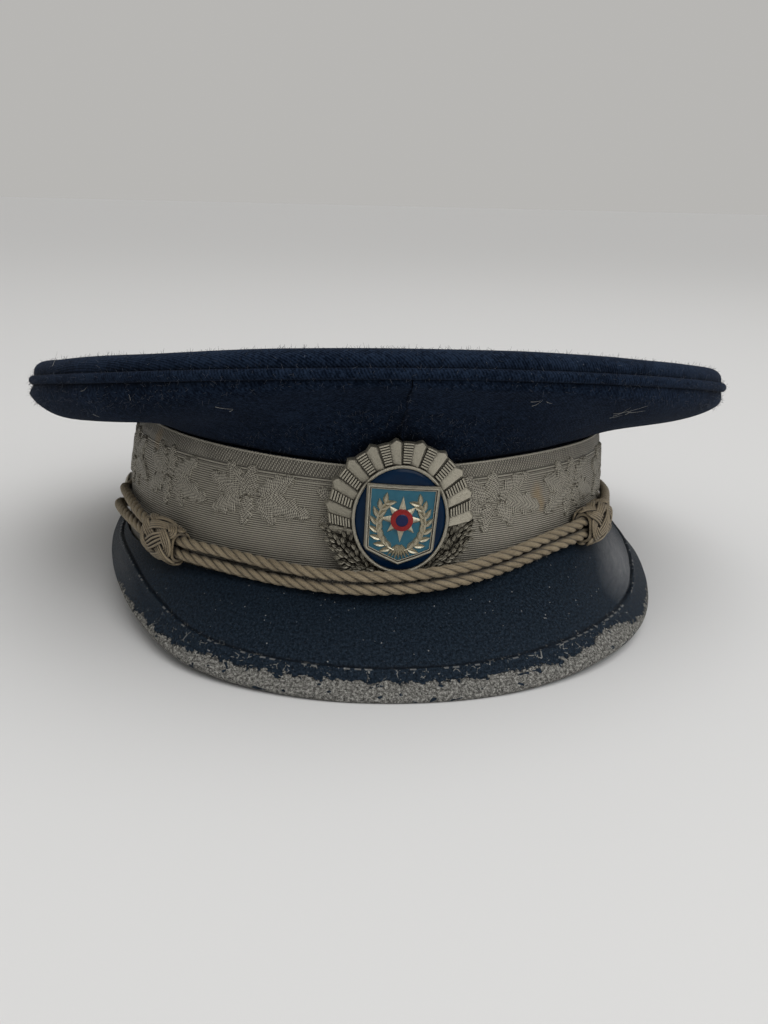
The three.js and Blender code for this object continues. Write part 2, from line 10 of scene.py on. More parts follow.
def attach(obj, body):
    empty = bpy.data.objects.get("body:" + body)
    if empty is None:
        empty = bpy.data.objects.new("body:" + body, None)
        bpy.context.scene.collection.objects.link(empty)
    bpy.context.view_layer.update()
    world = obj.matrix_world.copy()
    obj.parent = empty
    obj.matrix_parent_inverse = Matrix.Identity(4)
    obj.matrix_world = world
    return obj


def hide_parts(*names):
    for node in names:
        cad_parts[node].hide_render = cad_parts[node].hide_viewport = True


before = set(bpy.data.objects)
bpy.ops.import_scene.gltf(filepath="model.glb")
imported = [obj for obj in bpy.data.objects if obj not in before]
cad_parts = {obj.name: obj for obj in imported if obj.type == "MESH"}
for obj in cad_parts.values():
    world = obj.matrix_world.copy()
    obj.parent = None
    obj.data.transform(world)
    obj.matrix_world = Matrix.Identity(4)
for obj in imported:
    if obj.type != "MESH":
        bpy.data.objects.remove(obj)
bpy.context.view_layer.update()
print("stage 1: frame loaded")

# The cap's own frame: the band's lower edge lies level, and the whole cap is tipped back to rest
capFrame = {
    "halfWidth": 0.0875,                                # outer face of the braid
    "halfLength": 0.104,
    "bandHeight": (0.042, 0.0437, 0.0444, 0.048),       # front, right, back, left
    "dip": (0.0018, math.radians(24)),                  # depth and width of the dip behind the badge
    "lowerOut": (0.0016, -0.0004, 0.0016, 0.005),       # how far the braid stands out along its two edges
    "upperOut": (0, -0.0008, 0, -0.002),
    "overhang": (0.027, 0.0427, 0.0245, 0.0359),
    "pipingHeight": (0.0697, 0.0558, 0.0512, 0.057),
    "tilt": math.radians(4.9),
    "shift": (-0.003246, 0.003335, 0.007887),
    "pressed": 0.001,
}
halfWidth, halfLength = capFrame["halfWidth"], capFrame["halfLength"]


def around(four, angle):  # a value given at front, right, back and left, at an angle from the front
    front, right, back, left = four
    s, c = np.sin(angle), np.cos(angle)
    lengthwise = (front + back) / 2
    sideways = left + (right - left) * (1 + s) / 2
    return lengthwise + (sideways - lengthwise) * s * s + (front - back) / 2 * c


def swung(x, y, turn):
    c, s = math.cos(turn), math.sin(turn)
    return x * c - y * s, x * s + y * c


def tipBack(points):  # from the cap's own frame to where it rests
    x, y, z = np.moveaxis(np.asarray(points, float), -1, 0)
    return np.stack([x, *swung(y, z, -capFrame["tilt"])], -1) + np.array(capFrame["shift"])


def tipForward(points):  # and back again
    x, y, z = np.moveaxis(np.asarray(points, float) - np.array(capFrame["shift"]), -1, 0)
    return np.stack([x, *swung(y, z, capFrame["tilt"])], -1)


def beside(angle, out, up):  # beside the band, out is measured square to the braid's face
    angle, out, up = np.broadcast_arrays(angle, out, up)
    across, along = halfLength * np.sin(angle), -halfWidth * np.cos(angle)
    norm = np.hypot(across, along)
    return np.stack([halfWidth * np.sin(angle) + across / norm * out,
                     -halfLength * np.cos(angle) + along / norm * out, up], -1)


def bandTop(angle):
    depth, width = capFrame["dip"]
    fromFront = np.arctan2(np.sin(angle), np.cos(angle)) / width
    return around(capFrame["bandHeight"], angle) - depth * np.exp(-fromFront**2)


def flareAt(angle, up):  # how far the braid's face stands out from its ellipse
    upper = around(capFrame["upperOut"], angle)
    return upper + (around(capFrame["lowerOut"], angle) - upper) * np.sqrt(np.maximum(1 - up / bandTop(angle), 0))


def tableAt(y):
    return capFrame["pressed"] - (halfLength - y) * math.tan(capFrame["tilt"])


arcAngles = np.linspace(-math.pi, math.pi, 2881)
arcSteps = np.hypot(halfWidth * np.cos(arcAngles), halfLength * np.sin(arcAngles))
arcLengths = np.concatenate([[0], np.cumsum((arcSteps[1:] + arcSteps[:-1]) / 2 * np.diff(arcAngles))])
arcLengths -= arcLengths[len(arcAngles) // 2]
bandPerimeter = arcLengths[-1] * 2


def angleAtArc(arc):  # angle at a distance along the braid from the front
    return np.interp(arc, arcLengths, arcAngles)


def smoothCurve(rows, at):  # a smooth curve through rows whose first column is where each one stands
    table = np.asarray(rows, float)
    x, y = table[:, 0], table[:, 1:]
    slope = np.gradient(y, x, axis=0)
    at = np.clip(np.asarray(at, float), x[0], x[-1])
    i = np.clip(np.searchsorted(x, at) - 1, 0, len(x) - 2)
    h = (x[i + 1] - x[i])[..., None]
    t = (at[..., None] - x[i][..., None]) / h
    return ((2 * t**3 - 3 * t**2 + 1) * y[i] + (t**3 - 2 * t**2 + t) * h * slope[i]
            + (3 * t**2 - 2 * t**3) * y[i + 1] + (t**3 - t**2) * h * slope[i + 1])


def unit(rows):  # each row scaled to a length of one
    return rows / np.linalg.norm(rows, axis=1)[:, None]


def lengthAlong(line):
    return np.concatenate([[0], np.cumsum(np.linalg.norm(np.diff(line, axis=0), axis=1))])


def fullTurn(steps):
    return np.linspace(0, 2 * math.pi, steps, endpoint=False)


def deselectAll():
    if bpy.context.object and bpy.context.object.mode != "OBJECT":
        bpy.ops.object.mode_set(mode="OBJECT")
    bpy.ops.object.select_all(action="DESELECT")


def pick(piece):
    deselectAll()
    piece.select_set(True)
    bpy.context.view_layer.objects.active = piece


def editAll(piece):
    pick(piece)
    bpy.ops.object.mode_set(mode="EDIT")
    bpy.ops.mesh.select_all(action="SELECT")


def newPiece(name, points, faces, uvs=None):
    mesh = bpy.data.meshes.new(name)
    mesh.from_pydata([tuple(p) for p in points], [], [tuple(f) for f in faces])
    if uvs is not None:
        layer = mesh.uv_layers.new(name="UVMap")
        layer.data.foreach_set("uv", np.asarray(uvs, np.float32).ravel())
    mesh.update()
    piece = bpy.data.objects.new(name, mesh)
    bpy.context.scene.collection.objects.link(piece)
    return piece


def gridFaces(rows, columns, looped=False):  # corners of the faces round a section, whose ends meet or are capped
    faces = [((i, j), (i + 1, j), (i + 1, j + 1), (i, j + 1))
             for i in range(rows if looped else rows - 1) for j in range(columns)]
    if not looped:
        faces.append([(0, j) for j in range(columns - 1, -1, -1)])
        faces.append([(rows - 1, j) for j in range(columns)])
    return faces


def gridPiece(name, points, uvs=None, looped=False):
    rows, columns = points.shape[:2]
    corners = gridFaces(rows, columns, looped)
    faces = [[i % rows * columns + j % columns for i, j in face] for face in corners]
    loops = None if uvs is None else [uvs[i, j] for face in corners for i, j in face]
    return newPiece(name, points.reshape(-1, 3), faces, loops)


def addGrid(points, faces, grid):  # adds a closed strip to a list of points and faces, and gives its corners
    start, (rows, columns) = len(points), grid.shape[:2]
    points.extend(grid.reshape(-1, 3))
    corners = gridFaces(rows, columns)
    faces.extend([start + i * columns + j % columns for i, j in face] for face in corners)
    return corners


def joinPieces(pieces, name):
    deselectAll()
    for piece in pieces:
        piece.select_set(True)
    bpy.context.view_layer.objects.active = pieces[0]
    bpy.ops.object.join()
    pieces[0].name = name
    return pieces[0]


def dress(piece, material, replaced=(), smoothAngle=40, turned=True):
    if turned:  # the faces of a new shape are turned outwards, and a copied solid is left alone
        editAll(piece)
        bpy.ops.mesh.normals_make_consistent(inside=False)
        bpy.ops.object.mode_set(mode="OBJECT")
    piece.data.materials.clear()
    piece.data.materials.append(material)
    pick(piece)
    bpy.ops.object.shade_smooth_by_angle(angle=math.radians(smoothAngle))
    deselectAll()
    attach(piece, "root")
    if replaced:
        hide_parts(*replaced)


def softCopy(nodeName, pieceName, levels):  # a finer, rounder piece made from a plain solid
    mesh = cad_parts[nodeName].data.copy()
    piece = bpy.data.objects.new(pieceName, mesh)
    bpy.context.scene.collection.objects.link(piece)
    pick(piece)
    if mesh.has_custom_normals:
        bpy.ops.mesh.customdata_custom_splitnormals_clear()
    editAll(piece)
    bpy.ops.mesh.remove_doubles(threshold=0.000002)
    bpy.ops.mesh.tris_convert_to_quads(face_threshold=math.radians(70), shape_threshold=math.radians(100))
    bpy.ops.mesh.select_all(action="DESELECT")
    bpy.ops.mesh.select_mode(type="EDGE")
    bpy.ops.mesh.edges_select_sharp(sharpness=math.radians(62))
    bpy.ops.transform.edge_crease(value=0.8)
    bpy.ops.object.mode_set(mode="OBJECT")
    finer = piece.modifiers.new("finer", "SUBSURF")
    finer.levels = finer.render_levels = levels
    bpy.ops.object.modifier_apply(modifier="finer")
    return piece


def risenPiece(name, sides, rows):  # a filled circle drawn up row by row, each a share of its width and a height
    deselectAll()
    bpy.ops.mesh.primitive_circle_add(vertices=sides, radius=1, fill_type="NGON", calc_uvs=False)
    piece = bpy.context.object
    piece.name = piece.data.name = name
    editAll(piece)
    bpy.ops.transform.translate(value=(0, 0, rows[0][1]))
    for (share, low), (nextShare, high) in zip(rows, rows[1:]):
        bpy.ops.mesh.extrude_region_move(TRANSFORM_OT_translate={"value": (0, 0, high - low)})
        drawn = nextShare / share
        bpy.ops.transform.resize(value=(drawn, drawn, 1), center_override=(0, 0, high))
    bpy.ops.object.mode_set(mode="OBJECT")
    return piece


def meshPoints(piece):
    points = np.empty(len(piece.data.vertices) * 3, np.float32)
    piece.data.vertices.foreach_get("co", points)
    return points.reshape(-1, 3).astype(float)


def setPoints(piece, points):
    piece.data.vertices.foreach_set("co", np.asarray(points, np.float32).ravel())
    piece.data.update()


def mapByVertex(piece, uvs):  # one UV pair for each vertex
    layer = piece.data.uv_layers.active or piece.data.uv_layers.new(name="UVMap")
    index = np.empty(len(piece.data.loops), np.int32)
    piece.data.loops.foreach_get("vertex_index", index)
    layer.data.foreach_set("uv", np.asarray(uvs, np.float32)[index].ravel())


class nodeValue:  # what a node of a material gives, so that sums on it read as sums
    def __init__(self, material, socket):
        self.material, self.socket = material, socket

    def calc(self, operation, *others):
        return addNode(self.material, "ShaderNodeMath", dict(enumerate((self, *others))), operation=operation)

    def __rsub__(self, other):
        return addNode(self.material, "ShaderNodeMath", {0: other, 1: self}, operation="SUBTRACT")

    __add__ = partialmethod(calc, "ADD")
    __sub__ = partialmethod(calc, "SUBTRACT")
    __mul__ = partialmethod(calc, "MULTIPLY")
    __truediv__ = partialmethod(calc, "DIVIDE")
    __pow__ = partialmethod(calc, "POWER")
    __gt__ = partialmethod(calc, "GREATER_THAN")
    __lt__ = partialmethod(calc, "LESS_THAN")
    __abs__ = partialmethod(calc, "ABSOLUTE")


def newMaterial(name, colour, roughness, metallic=0.0, **others):
    material = bpy.data.materials.new(name)
    material.use_nodes = True
    sockets = material.node_tree.nodes["Principled BSDF"].inputs
    sockets["Base Color"].default_value = (*colour, 1)
    sockets["Roughness"].default_value = roughness
    sockets["Metallic"].default_value = metallic
    sockets["Specular IOR Level"].default_value = others.get("specular", 0.5)
    sockets["Sheen Weight"].default_value = others.get("sheen", 0.0)
    return material


def addNode(material, kind, inputs, output=0, **settings):
    node = material.node_tree.nodes.new(kind)
    for key, value in settings.items():
        setattr(node, key, value)
    for key, value in inputs.items():
        if isinstance(value, nodeValue):
            material.node_tree.links.new(value.socket, node.inputs[key])
        else:
            node.inputs[key].default_value = value
    return nodeValue(material, node.outputs[output])


def ramp(value, stops):  # stops are pairs of place and colour or grey
    result = addNode(value.material, "ShaderNodeValToRGB", {"Fac": value}, "Color")
    elements = result.socket.node.color_ramp.elements
    while len(elements) < len(stops):
        elements.new(0.5)
    for element, (place, colour) in zip(elements, stops):
        element.position = place
        element.color = (*colour, 1) if isinstance(colour, tuple) else (colour, colour, colour, 1)
    return result


def mixColour(share, a, b):
    a, b = ((*colour, 1) if isinstance(colour, tuple) else colour for colour in (a, b))
    return addNode(share.material, "ShaderNodeMix", {0: share, 6: a, 7: b}, 2, data_type="RGBA")


def between(value, low, high, start=0.0, end=1.0):  # start up to low, end from high on, and even between them
    return addNode(value.material, "ShaderNodeMapRange", {
        "Value": value, "From Min": low, "From Max": high, "To Min": start, "To Max": end})


def grain(where, scale, detail=3.0, rough=0.6, stretch=(1, 1, 1)):
    place = addNode(where.material, "ShaderNodeMapping", {"Vector": where, "Scale": stretch})
    return addNode(where.material, "ShaderNodeTexNoise", {
        "Vector": place, "Scale": scale, "Detail": detail, "Roughness": rough}, "Fac")


def cells(where, scale, feature="F1"):
    inputs = {"Vector": where, "Scale": scale}
    return addNode(where.material, "ShaderNodeTexVoronoi", inputs, "Distance", feature=feature)


def openness(material, reach):  # 1 in the open and less in a hollow
    return addNode(material, "ShaderNodeAmbientOcclusion", {"Distance": reach}, "AO", samples=8)


def millimetres(material, output="UV"):  # UV or object coordinates, counted in millimetres
    source = addNode(material, "ShaderNodeTexCoord", {}, output)
    place = addNode(material, "ShaderNodeMapping", {"Vector": source, "Scale": (1000, 1000, 1000)})
    parts = addNode(material, "ShaderNodeSeparateXYZ", {0: place}).socket.node.outputs
    return [place] + [nodeValue(material, part) for part in parts]


def waves(u, v, turn, pitch):  # straight lines at a turn in degrees, 0 to 1 across each pitch
    slope, turns = math.radians(turn), 2 * math.pi / pitch
    return (v * (math.sin(slope) * turns) + u * (math.cos(slope) * turns)).calc("SINE") * 0.5 + 0.5


def spot(u, v, centre, size):  # 1 at a place and 0 beyond its size
    du, dv = (u - centre[0]) / size[0], (v - centre[1]) / size[1]
    return 1.0 - between((du * du + dv * dv).calc("SQRT"), 0.2, 1.0)


def finish(colour, height=None, depth=0.0, roughness=None):  # joins what was worked out to the material's shader
    sockets = colour.material.node_tree.nodes["Principled BSDF"].inputs
    link = colour.material.node_tree.links.new
    link(colour.socket, sockets["Base Color"])
    if height is not None:
        bump = addNode(colour.material, "ShaderNodeBump", {"Height": height, "Distance": depth, "Strength": 1.0})
        link(bump.socket, sockets["Normal"])
    if roughness is not None:
        link(roughness.socket, sockets["Roughness"])


def mottled(name, colour, roughness, dark, light, size, detail=3, rough=0.6, depth=None, **others):
    material = newMaterial(name, colour, roughness, **others)
    cloud = grain(millimetres(material, "Object")[0], size, detail, rough)
    finish(mixColour(cloud, dark, light), cloud if depth else None, depth)
    return material


clothLook = {
    "dark": (0.0007, 0.003, 0.0085), "light": (0.0125, 0.0222, 0.0435), "lint": (0.12, 0.13, 0.15),
    "seam": (0.0004, 0.0008, 0.0018), "seamReach": 0.005, "ribPitch": 0.9, "depth": 0.0002, "sheen": 0.03,
    "sheenRoughness": 0.4, "sheenTint": (0.5, 0.62, 0.95), "specular": 0.05,
}


def navyCloth(name, ribTurn, ribStrength):
    material = newMaterial(name, clothLook["dark"], 0.92, specular=clothLook["specular"], sheen=clothLook["sheen"])
    sockets = material.node_tree.nodes["Principled BSDF"].inputs
    sockets["Sheen Roughness"].default_value = clothLook["sheenRoughness"]
    sockets["Sheen Tint"].default_value = (*clothLook["sheenTint"], 1)
    _, u, v, _ = millimetres(material)
    body = millimetres(material, "Object")[0]
    ribs = waves(u, v, ribTurn, clothLook["ribPitch"]) * ribStrength
    nap = grain(body, 1.25, 4, 0.85)
    streaks = grain(body, 0.7, 4, 0.7, (1, 1, 0.4))
    patches = grain(body, 0.045, 4, 0.6)
    tone = (patches - 0.5) * 0.3 + (ribs * 0.25 + (streaks * 0.55 + nap))
    base = mixColour(ramp(tone, [(0.7, 0.0), (1.02, 1.0)]), clothLook["dark"], clothLook["light"])
    specks = (cells(body, 0.42) < 0.08) * (grain(body, 0.31, 2) > 0.58)
    base = mixColour(specks * 0.5, base, clothLook["lint"])
    # painted shade: the cloth is darkened where it lies in a hollow, as in the seams and under the piping
    base = mixColour(openness(material, clothLook["seamReach"]) ** 1.5, clothLook["seam"], base)
    finish(base, ribs * 0.6 + (streaks * 0.4 + nap), clothLook["depth"])
    return material


quarterCloth = navyCloth("quarter cloth", 52, 0.3)
topCloth = navyCloth("top cloth", 38, 0.6)
pipingCloth = navyCloth("piping cloth", 20, 0.5)
bandCloth = navyCloth("band cloth", 60, 0.4)
print("stage 2: cloth materials")

# Crown: the top and the quarters as soft cloth with a little sag
crownLook = {
    "sag": 0.0007, "topSag": 0.6, "sagSize": 0.03, "levels": 2, "tuck": 0.0007,
    "tuckReach": (0.0042, 0.002, 0.005), "seamReach": 0.004, "seamShift": 0.00028, "rimRise": 0.0066, "flat": 0.1,
}


def sagCloth(piece, amount, seed):
    piece.data.update()
    points = meshPoints(piece)
    normals = np.empty(len(points) * 3, np.float32)
    piece.data.vertices.foreach_get("normal", normals)
    lift = np.array([noise.noise(Vector(p) / crownLook["sagSize"] + Vector((seed, 0, 0))) for p in points])
    setPoints(piece, points + normals.reshape(-1, 3) * (lift * amount)[:, None])


def onCap(piece):  # a piece's points in the cap's own frame, with their angles and reach beyond the band
    local = tipForward(meshPoints(piece))
    angle = np.arctan2(local[:, 0] / halfWidth, -local[:, 1] / halfLength)
    onBand = beside(angle, 0, 0)
    return local, angle, np.hypot(local[:, 0], local[:, 1]) - np.hypot(onBand[:, 0], onBand[:, 1])


def tuckUnderPiping(piece, side):  # closes the small gap between the cloth and its piping
    local, angle, out = onCap(piece)
    apart = (local[:, 2] - around(capFrame["pipingHeight"], angle)) * side
    tuckHeight, tuckFade, tuckDepth = crownLook["tuckReach"]
    outermost = out > around(capFrame["overhang"], angle) - tuckDepth
    near = np.clip((tuckHeight - apart) / tuckFade, 0, 1) * outermost
    local[:, 2] -= side * crownLook["tuck"] * near
    setPoints(piece, tipBack(local))


for side, way in (("left", 1), ("right", -1)):
    quarter = softCopy("quarter_" + side, "crownQuarter_" + side, crownLook["levels"])
    sagCloth(quarter, crownLook["sag"], 3)
    tuckUnderPiping(quarter, -1)
    local, _, _ = onCap(quarter)  # the two quarters touch along the front and back seams
    local[:, 0] += way * crownLook["seamShift"] * np.clip(1 - np.abs(local[:, 0]) / crownLook["seamReach"], 0, 1)
    setPoints(quarter, tipBack(local))
    local, angle, out = onCap(quarter)
    mapByVertex(quarter, np.stack([angle * 0.114, np.hypot(out, local[:, 2] - bandTop(angle))], -1))
    dress(quarter, quarterCloth, ["quarter_" + side], 60, False)

crownTop = softCopy("top_panel", "crownTop", crownLook["levels"])
sagCloth(crownTop, crownLook["sag"] * crownLook["topSag"], 9)
tuckUnderPiping(crownTop, 1)
local, angle, _ = onCap(crownTop)
radius = np.hypot(local[:, 0], local[:, 1])
rim = around(capFrame["pipingHeight"], angle) + crownLook["rimRise"]
fall = np.where(radius > crownLook["flat"], np.maximum(rim - local[:, 2], 0), 0)
mapByVertex(crownTop, local[:, :2] * (1 + fall / np.maximum(radius, 0.01))[:, None])
dress(crownTop, topCloth, ["top_panel"], 60, False)

bandLining = softCopy("band", "bandCloth", 1)
local = tipForward(meshPoints(bandLining))
mapByVertex(bandLining, np.stack([np.arctan2(local[:, 0], -local[:, 1]) * 0.095, local[:, 2]], -1))
dress(bandLining, bandCloth, ["band"], 50, False)
print("stage 3: crown and band")


def tubeAlong(centres, outward, radius, sides, closed=True, uvOffset=0.0):  # rings and UVs of a round tube
    if closed:
        ahead = np.roll(centres, -1, 0) - np.roll(centres, 1, 0)
        arc = lengthAlong(np.concatenate([centres, centres[:1]]))
    else:
        ahead = np.gradient(centres, axis=0)
        arc = lengthAlong(centres)
    ahead = unit(ahead)
    aside = unit(np.cross(ahead, outward))
    away = np.cross(aside, ahead)
    turns = 2 * math.pi * np.arange(sides) / sides
    rings = (centres[:, None] + radius * (np.cos(turns)[None, :, None] * away[:, None]
                                          + np.sin(turns)[None, :, None] * aside[:, None]))
    uvs = np.zeros((len(arc), sides + 1, 2))
    uvs[..., 0] = arc[:, None]
    uvs[..., 1] = np.arange(sides + 1) / sides * 2 * math.pi * radius + uvOffset
    return rings, uvs


# Piping: a cord covered in cloth, sewn between the top and the quarters
pipingLook = {"radius": 0.0016, "sides": 12, "steps": 360}
pipingAngles = fullTurn(pipingLook["steps"])
pipingLine = tipBack(beside(pipingAngles, around(capFrame["overhang"], pipingAngles),
                            around(capFrame["pipingHeight"], pipingAngles)))
outward = np.cross(np.roll(pipingLine, -1, 0) - np.roll(pipingLine, 1, 0), (0, 0, 1))
rings, uvs = tubeAlong(pipingLine, outward, pipingLook["radius"], pipingLook["sides"])
piping = gridPiece("pipingCord", np.roll(rings[:, ::-1], 1, 1), uvs, looped=True)
dress(piping, pipingCloth, ["piping"], 60)
print("stage 4: piping")

# Braid: a woven ribbon with a twilled border along both edges and fine ribs between
braidLook = {
    "bottom": 0.0018, "margin": -0.0001, "wall": 0.001, "steps": 720, "heights": 14, "woven": 0.0396,
    "edgeRound": 0.00025, "ribPitch": 0.66, "border": 4.4, "dark": (0.05, 0.045, 0.035),
    "light": (0.37, 0.345, 0.285), "paintedCordShadow": (0.05, 0.045, 0.04), "stain": (0.3, 0.19, 0.07),
    "stains": (((48, 27), (3.4, 4.6)), ((50.5, 23.5), (2.2, 3.2)), ((-96, 35), (4, 5))),
    # from the edge, to, and how high
    "edgeLines": ((4.3, 4.75, -0.5), (4.9, 5.4, 0.45), (5.5, 5.9, -0.4), (6.1, 6.6, 0.35), (-0.5, 0.45, 0.5)),
}


def onBraid(arc, woven, out):  # a point on the braid's face, whose weave eases a little round the cap
    angle = angleAtArc(arc)
    top = bandTop(angle) - braidLook["margin"]
    up = braidLook["bottom"] + woven / braidLook["woven"] * (top - braidLook["bottom"])
    return tipBack(beside(angle, flareAt(angle, up) + out, up))


braidArcs = np.linspace(-bandPerimeter / 2, bandPerimeter / 2, braidLook["steps"] + 1)
braidWoven = np.linspace(0, braidLook["woven"], braidLook["heights"])
soften = np.minimum(np.minimum(braidWoven, braidLook["woven"] - braidWoven) / 0.0008, 1)
faceOut = np.concatenate([braidLook["edgeRound"] * (soften - 1), [-braidLook["wall"]] * 2])
wovenAround = np.concatenate([braidWoven, [braidLook["woven"], 0]])
braidPoints = onBraid(*np.meshgrid(braidArcs[:-1], wovenAround, indexing="ij"), faceOut)
braidUvs = np.zeros((len(braidArcs), len(wovenAround) + 1, 2))
braidUvs[..., 0] = braidArcs[:, None]
braidUvs[:, :-1, 1] = wovenAround
braid = gridPiece("braidRibbon", braidPoints, braidUvs, looped=True)


def wovenColours(where, u, v, height, depth):
    wear = grain(where, 0.12, 4, 0.65)
    fine = grain(where, 3.0, 3, 0.7)
    tone = height + (fine * 0.35 + wear * 0.35)
    base = mixColour(ramp(tone, [(0.48, 0.0), (1.04, 1.0)]), braidLook["dark"], braidLook["light"])
    for centre, size in braidLook["stains"]:
        base = mixColour(spot(u, v, centre, size) * (wear * 0.9), base, braidLook["stain"])
    # painted shadow of the chin cord: the weave darkens from 17 mm down to 6 mm up the braid, and by height on the
    # sprays
    base = mixColour(between(v, 6.0, 17.0, 0.55, 0.0), base, braidLook["paintedCordShadow"])
    finish(base, fine * 0.3 + height, depth)


braidWeave = newMaterial("silver braid weave", braidLook["light"], 0.6, 0.15)
where, u, v, _ = millimetres(braidWeave)
field = waves(u, v, 8, 0.5) * 0.22 + waves(u, v, 90, braidLook["ribPitch"]) * 0.78
crossed = waves(u, v, 36, 0.66) * waves(u, v, -30, 0.98)
halfWoven = braidLook["woven"] * 500
fromMiddle = abs(v - halfWoven)
inBorder = fromMiddle > halfWoven - braidLook["border"]
height = inBorder * (crossed * 0.9 + 0.15) + (1.0 - inBorder) * field
fromEdge = halfWoven - fromMiddle
for near, far, rise in braidLook["edgeLines"]:
    height = (fromEdge > near) * (fromEdge < far) * rise + height
wovenColours(where, u, v, height, 0.0003)
dress(braid, braidWeave, ["braid"], 50)

# Oak sprays woven into the braid: base, tip and width of each leaf, in millimetres from the spray's middle
sprayLook = {
    "leaves": ((-2.4, -0.4, -2.0, 9.0, 7.2), (0.6, 0.6, 12.4, 6.8, 7.2), (2.4, -0.6, 17.6, -4.4, 8.0),
        (0.2, -0.8, 5.8, -8.4, 6.2), (-3.4, -0.6, -5.2, -9.6, 6.4), (-6.2, -1.2, -17.8, -6.6, 7.6),
        (-6.4, 0.0, -18.4, 4.2, 7.4), (-5.0, 0.2, -11.4, 8.8, 6.8)),
    "stem": ((-9.5, -2.2), (-6.0, -0.6), (-2.5, 1.2), (1.0, 0.6), (5.0, 1.6)), "height": 27.2, "first": -6.0,
    "count": 16, "relief": 0.75, "rows": 25, "lobes": 3.6,
}
leafAcross = np.array([-1, -0.96, -0.5, -0.07, 0.07, 0.5, 0.96, 1, 0.5, -0.5])
leafDome = np.array([-0.3, 0.35, 1.0, 0.72, 0.72, 1.0, 0.35, -0.3, -0.3, -0.3])
ribAcross, ribLift = np.array([-0.55, -0.3, 0.3, 0.55]), np.array([-0.2, 0.75, 0.75, -0.2])
sprayPoints, sprayFaces, sprayUvs = [], [], []


def addRelief(arcs, wovens, lifts, uvs):  # a closed strip of relief from grids of places on the ribbon
    corners = addGrid(sprayPoints, sprayFaces, onBraid(arcs / 1000, wovens / 1000, lifts / 1000))
    sprayUvs.extend(uvs[i, j % arcs.shape[1]] for face in corners for i, j in face)


seedLeaf = random.Random(4)
for spray in range(sprayLook["count"]):
    centre = sprayLook["first"] + (spray - sprayLook["count"] // 2) * bandPerimeter * 1000 / sprayLook["count"]
    for number, (x0, y0, x1, y1, width) in enumerate(sprayLook["leaves"]):
        t = np.linspace(0.02, 0.995, sprayLook["rows"])
        length, turn = math.hypot(x1 - x0, y1 - y0), math.atan2(y1 - y0, x1 - x0)
        lobed = 0.8 + 0.2 * np.cos(2 * math.pi * sprayLook["lobes"] * t - 1.0 + seedLeaf.uniform(-0.4, 0.4))
        half = (width / 2 * np.sin(math.pi * t**0.72) ** 0.5 * lobed)[:, None]
        curl = seedLeaf.uniform(-0.5, 0.5) * np.sin(math.pi * t)[:, None]
        along, aside = length * t[:, None] + 0 * leafAcross, half * leafAcross + curl
        x, y = swung(along, aside, turn)
        lift = sprayLook["relief"] * leafDome * np.minimum(1, half / 0.9) * (1 + 0.12 * (number % 3))
        uvs = np.stack([along + 40 * number + 7 * spray, half * leafAcross], -1) / 1000
        addRelief(x + (centre + x0), np.clip(y + (sprayLook["height"] + y0), 0.6, 39.0), lift, uvs)
    stem = smoothCurve([(i, *p) for i, p in enumerate(sprayLook["stem"])], np.linspace(0, 4, 15))
    ahead = unit(np.gradient(stem, axis=0))
    x = centre + stem[:, :1] - ahead[:, 1:] * ribAcross
    y = sprayLook["height"] + stem[:, 1:] + ahead[:, :1] * ribAcross
    uvs = np.stack([np.arange(15)[:, None] * 1.3 + 0 * ribAcross, 300 + ribAcross + 0 * x], -1) / 1000
    addRelief(x, y, np.broadcast_to(ribLift * sprayLook["relief"] * 1.5, x.shape), uvs)
sprays = newPiece("oakSprays", sprayPoints, sprayFaces, sprayUvs)
leafWeave = newMaterial("oak spray thread", braidLook["light"], 0.6, 0.15)
where, u, v, _ = millimetres(leafWeave)
wavy = grain(where, 0.5, 2) * 1.2 + abs(v)
height = waves(u, wavy, -32, 0.58) * 0.55 + waves(u, wavy, 58, 0.9) * 0.35
wovenColours(where, u, millimetres(leafWeave, "Object")[3] - 4.0, height, 0.00025)
dress(sprays, leafWeave, smoothAngle=50)
print("stage 5: braid")

# Peak: coated plate with a stitched line inside its edge
peakLook = {
    # angle, reach, drop and root height
    "rows": ((-88, 8.1, -4.4, 5.6), (-83, 9.4, -1.5, 5.2), (-76, 10.5, 0.9, 4.6), (-68, 12.3, 2.7, 4),
        (-58, 16, 4.7, 3.5), (-45, 22.8, 9.1, 3.3), (-30, 31.4, 14.9, 2.8), (-15, 34, 18.1, 1.9),
        (0, 34.4, 19.1, 1.5), (15, 34, 18.1, 3.8), (30, 31.8, 14.9, 7.2), (45, 26.3, 11.4, 9.4),
        (58, 19.3, 6.1, 9.9), (68, 14.1, 2.4, 10.2), (76, 10.6, 0, 10.4), (83, 8.6, -2.3, 10.4),
        (88, 6.3, -4.3, 10.2)),
    "wall": 2.2, "gap": 0.3, "curl": 0.18, "steps": 240, "shares": 44, "noseTurns": (30, 60, 90, 120, 150),
    # arc from the front, inset
    "stitch": ((0, 10.2), (40, 9.8), (80, 9.2), (110, 8.4), (140, 7.2), (165, 5.4)),
    "groove": 0.5, "ridge": 0.42, "pucker": 0.3, "stitchPitch": 3.3, "stitchSpan": (165, 12), "waviness": 0.35,
}
peakAngles = np.radians(np.linspace(-88, 88, peakLook["steps"]))[:, None]
peakShares = np.linspace(0, 1, peakLook["shares"])[None, :]
reach, drop, rootUp = np.moveaxis(smoothCurve(peakLook["rows"], np.degrees(peakAngles)), -1, 0)
root = flareAt(peakAngles, rootUp / 1000) * 1000 + peakLook["gap"]
out = root + (reach - root) * peakShares                # middle of the plate, out from the braid and up
up = rootUp - (drop + rootUp) * (peakShares + (peakShares * peakShares - peakShares) * peakLook["curl"])
run, rise = np.gradient(out, axis=1), np.gradient(up, axis=1)
slope = np.hypot(run, rise)
normalOut, normalUp = -rise / slope, run / slope
edgeArc = lengthAlong(beside(peakAngles[:, 0], out[:, -1] / 1000, up[:, -1] / 1000)) * 1000
edgeArc -= edgeArc[-1] / 2
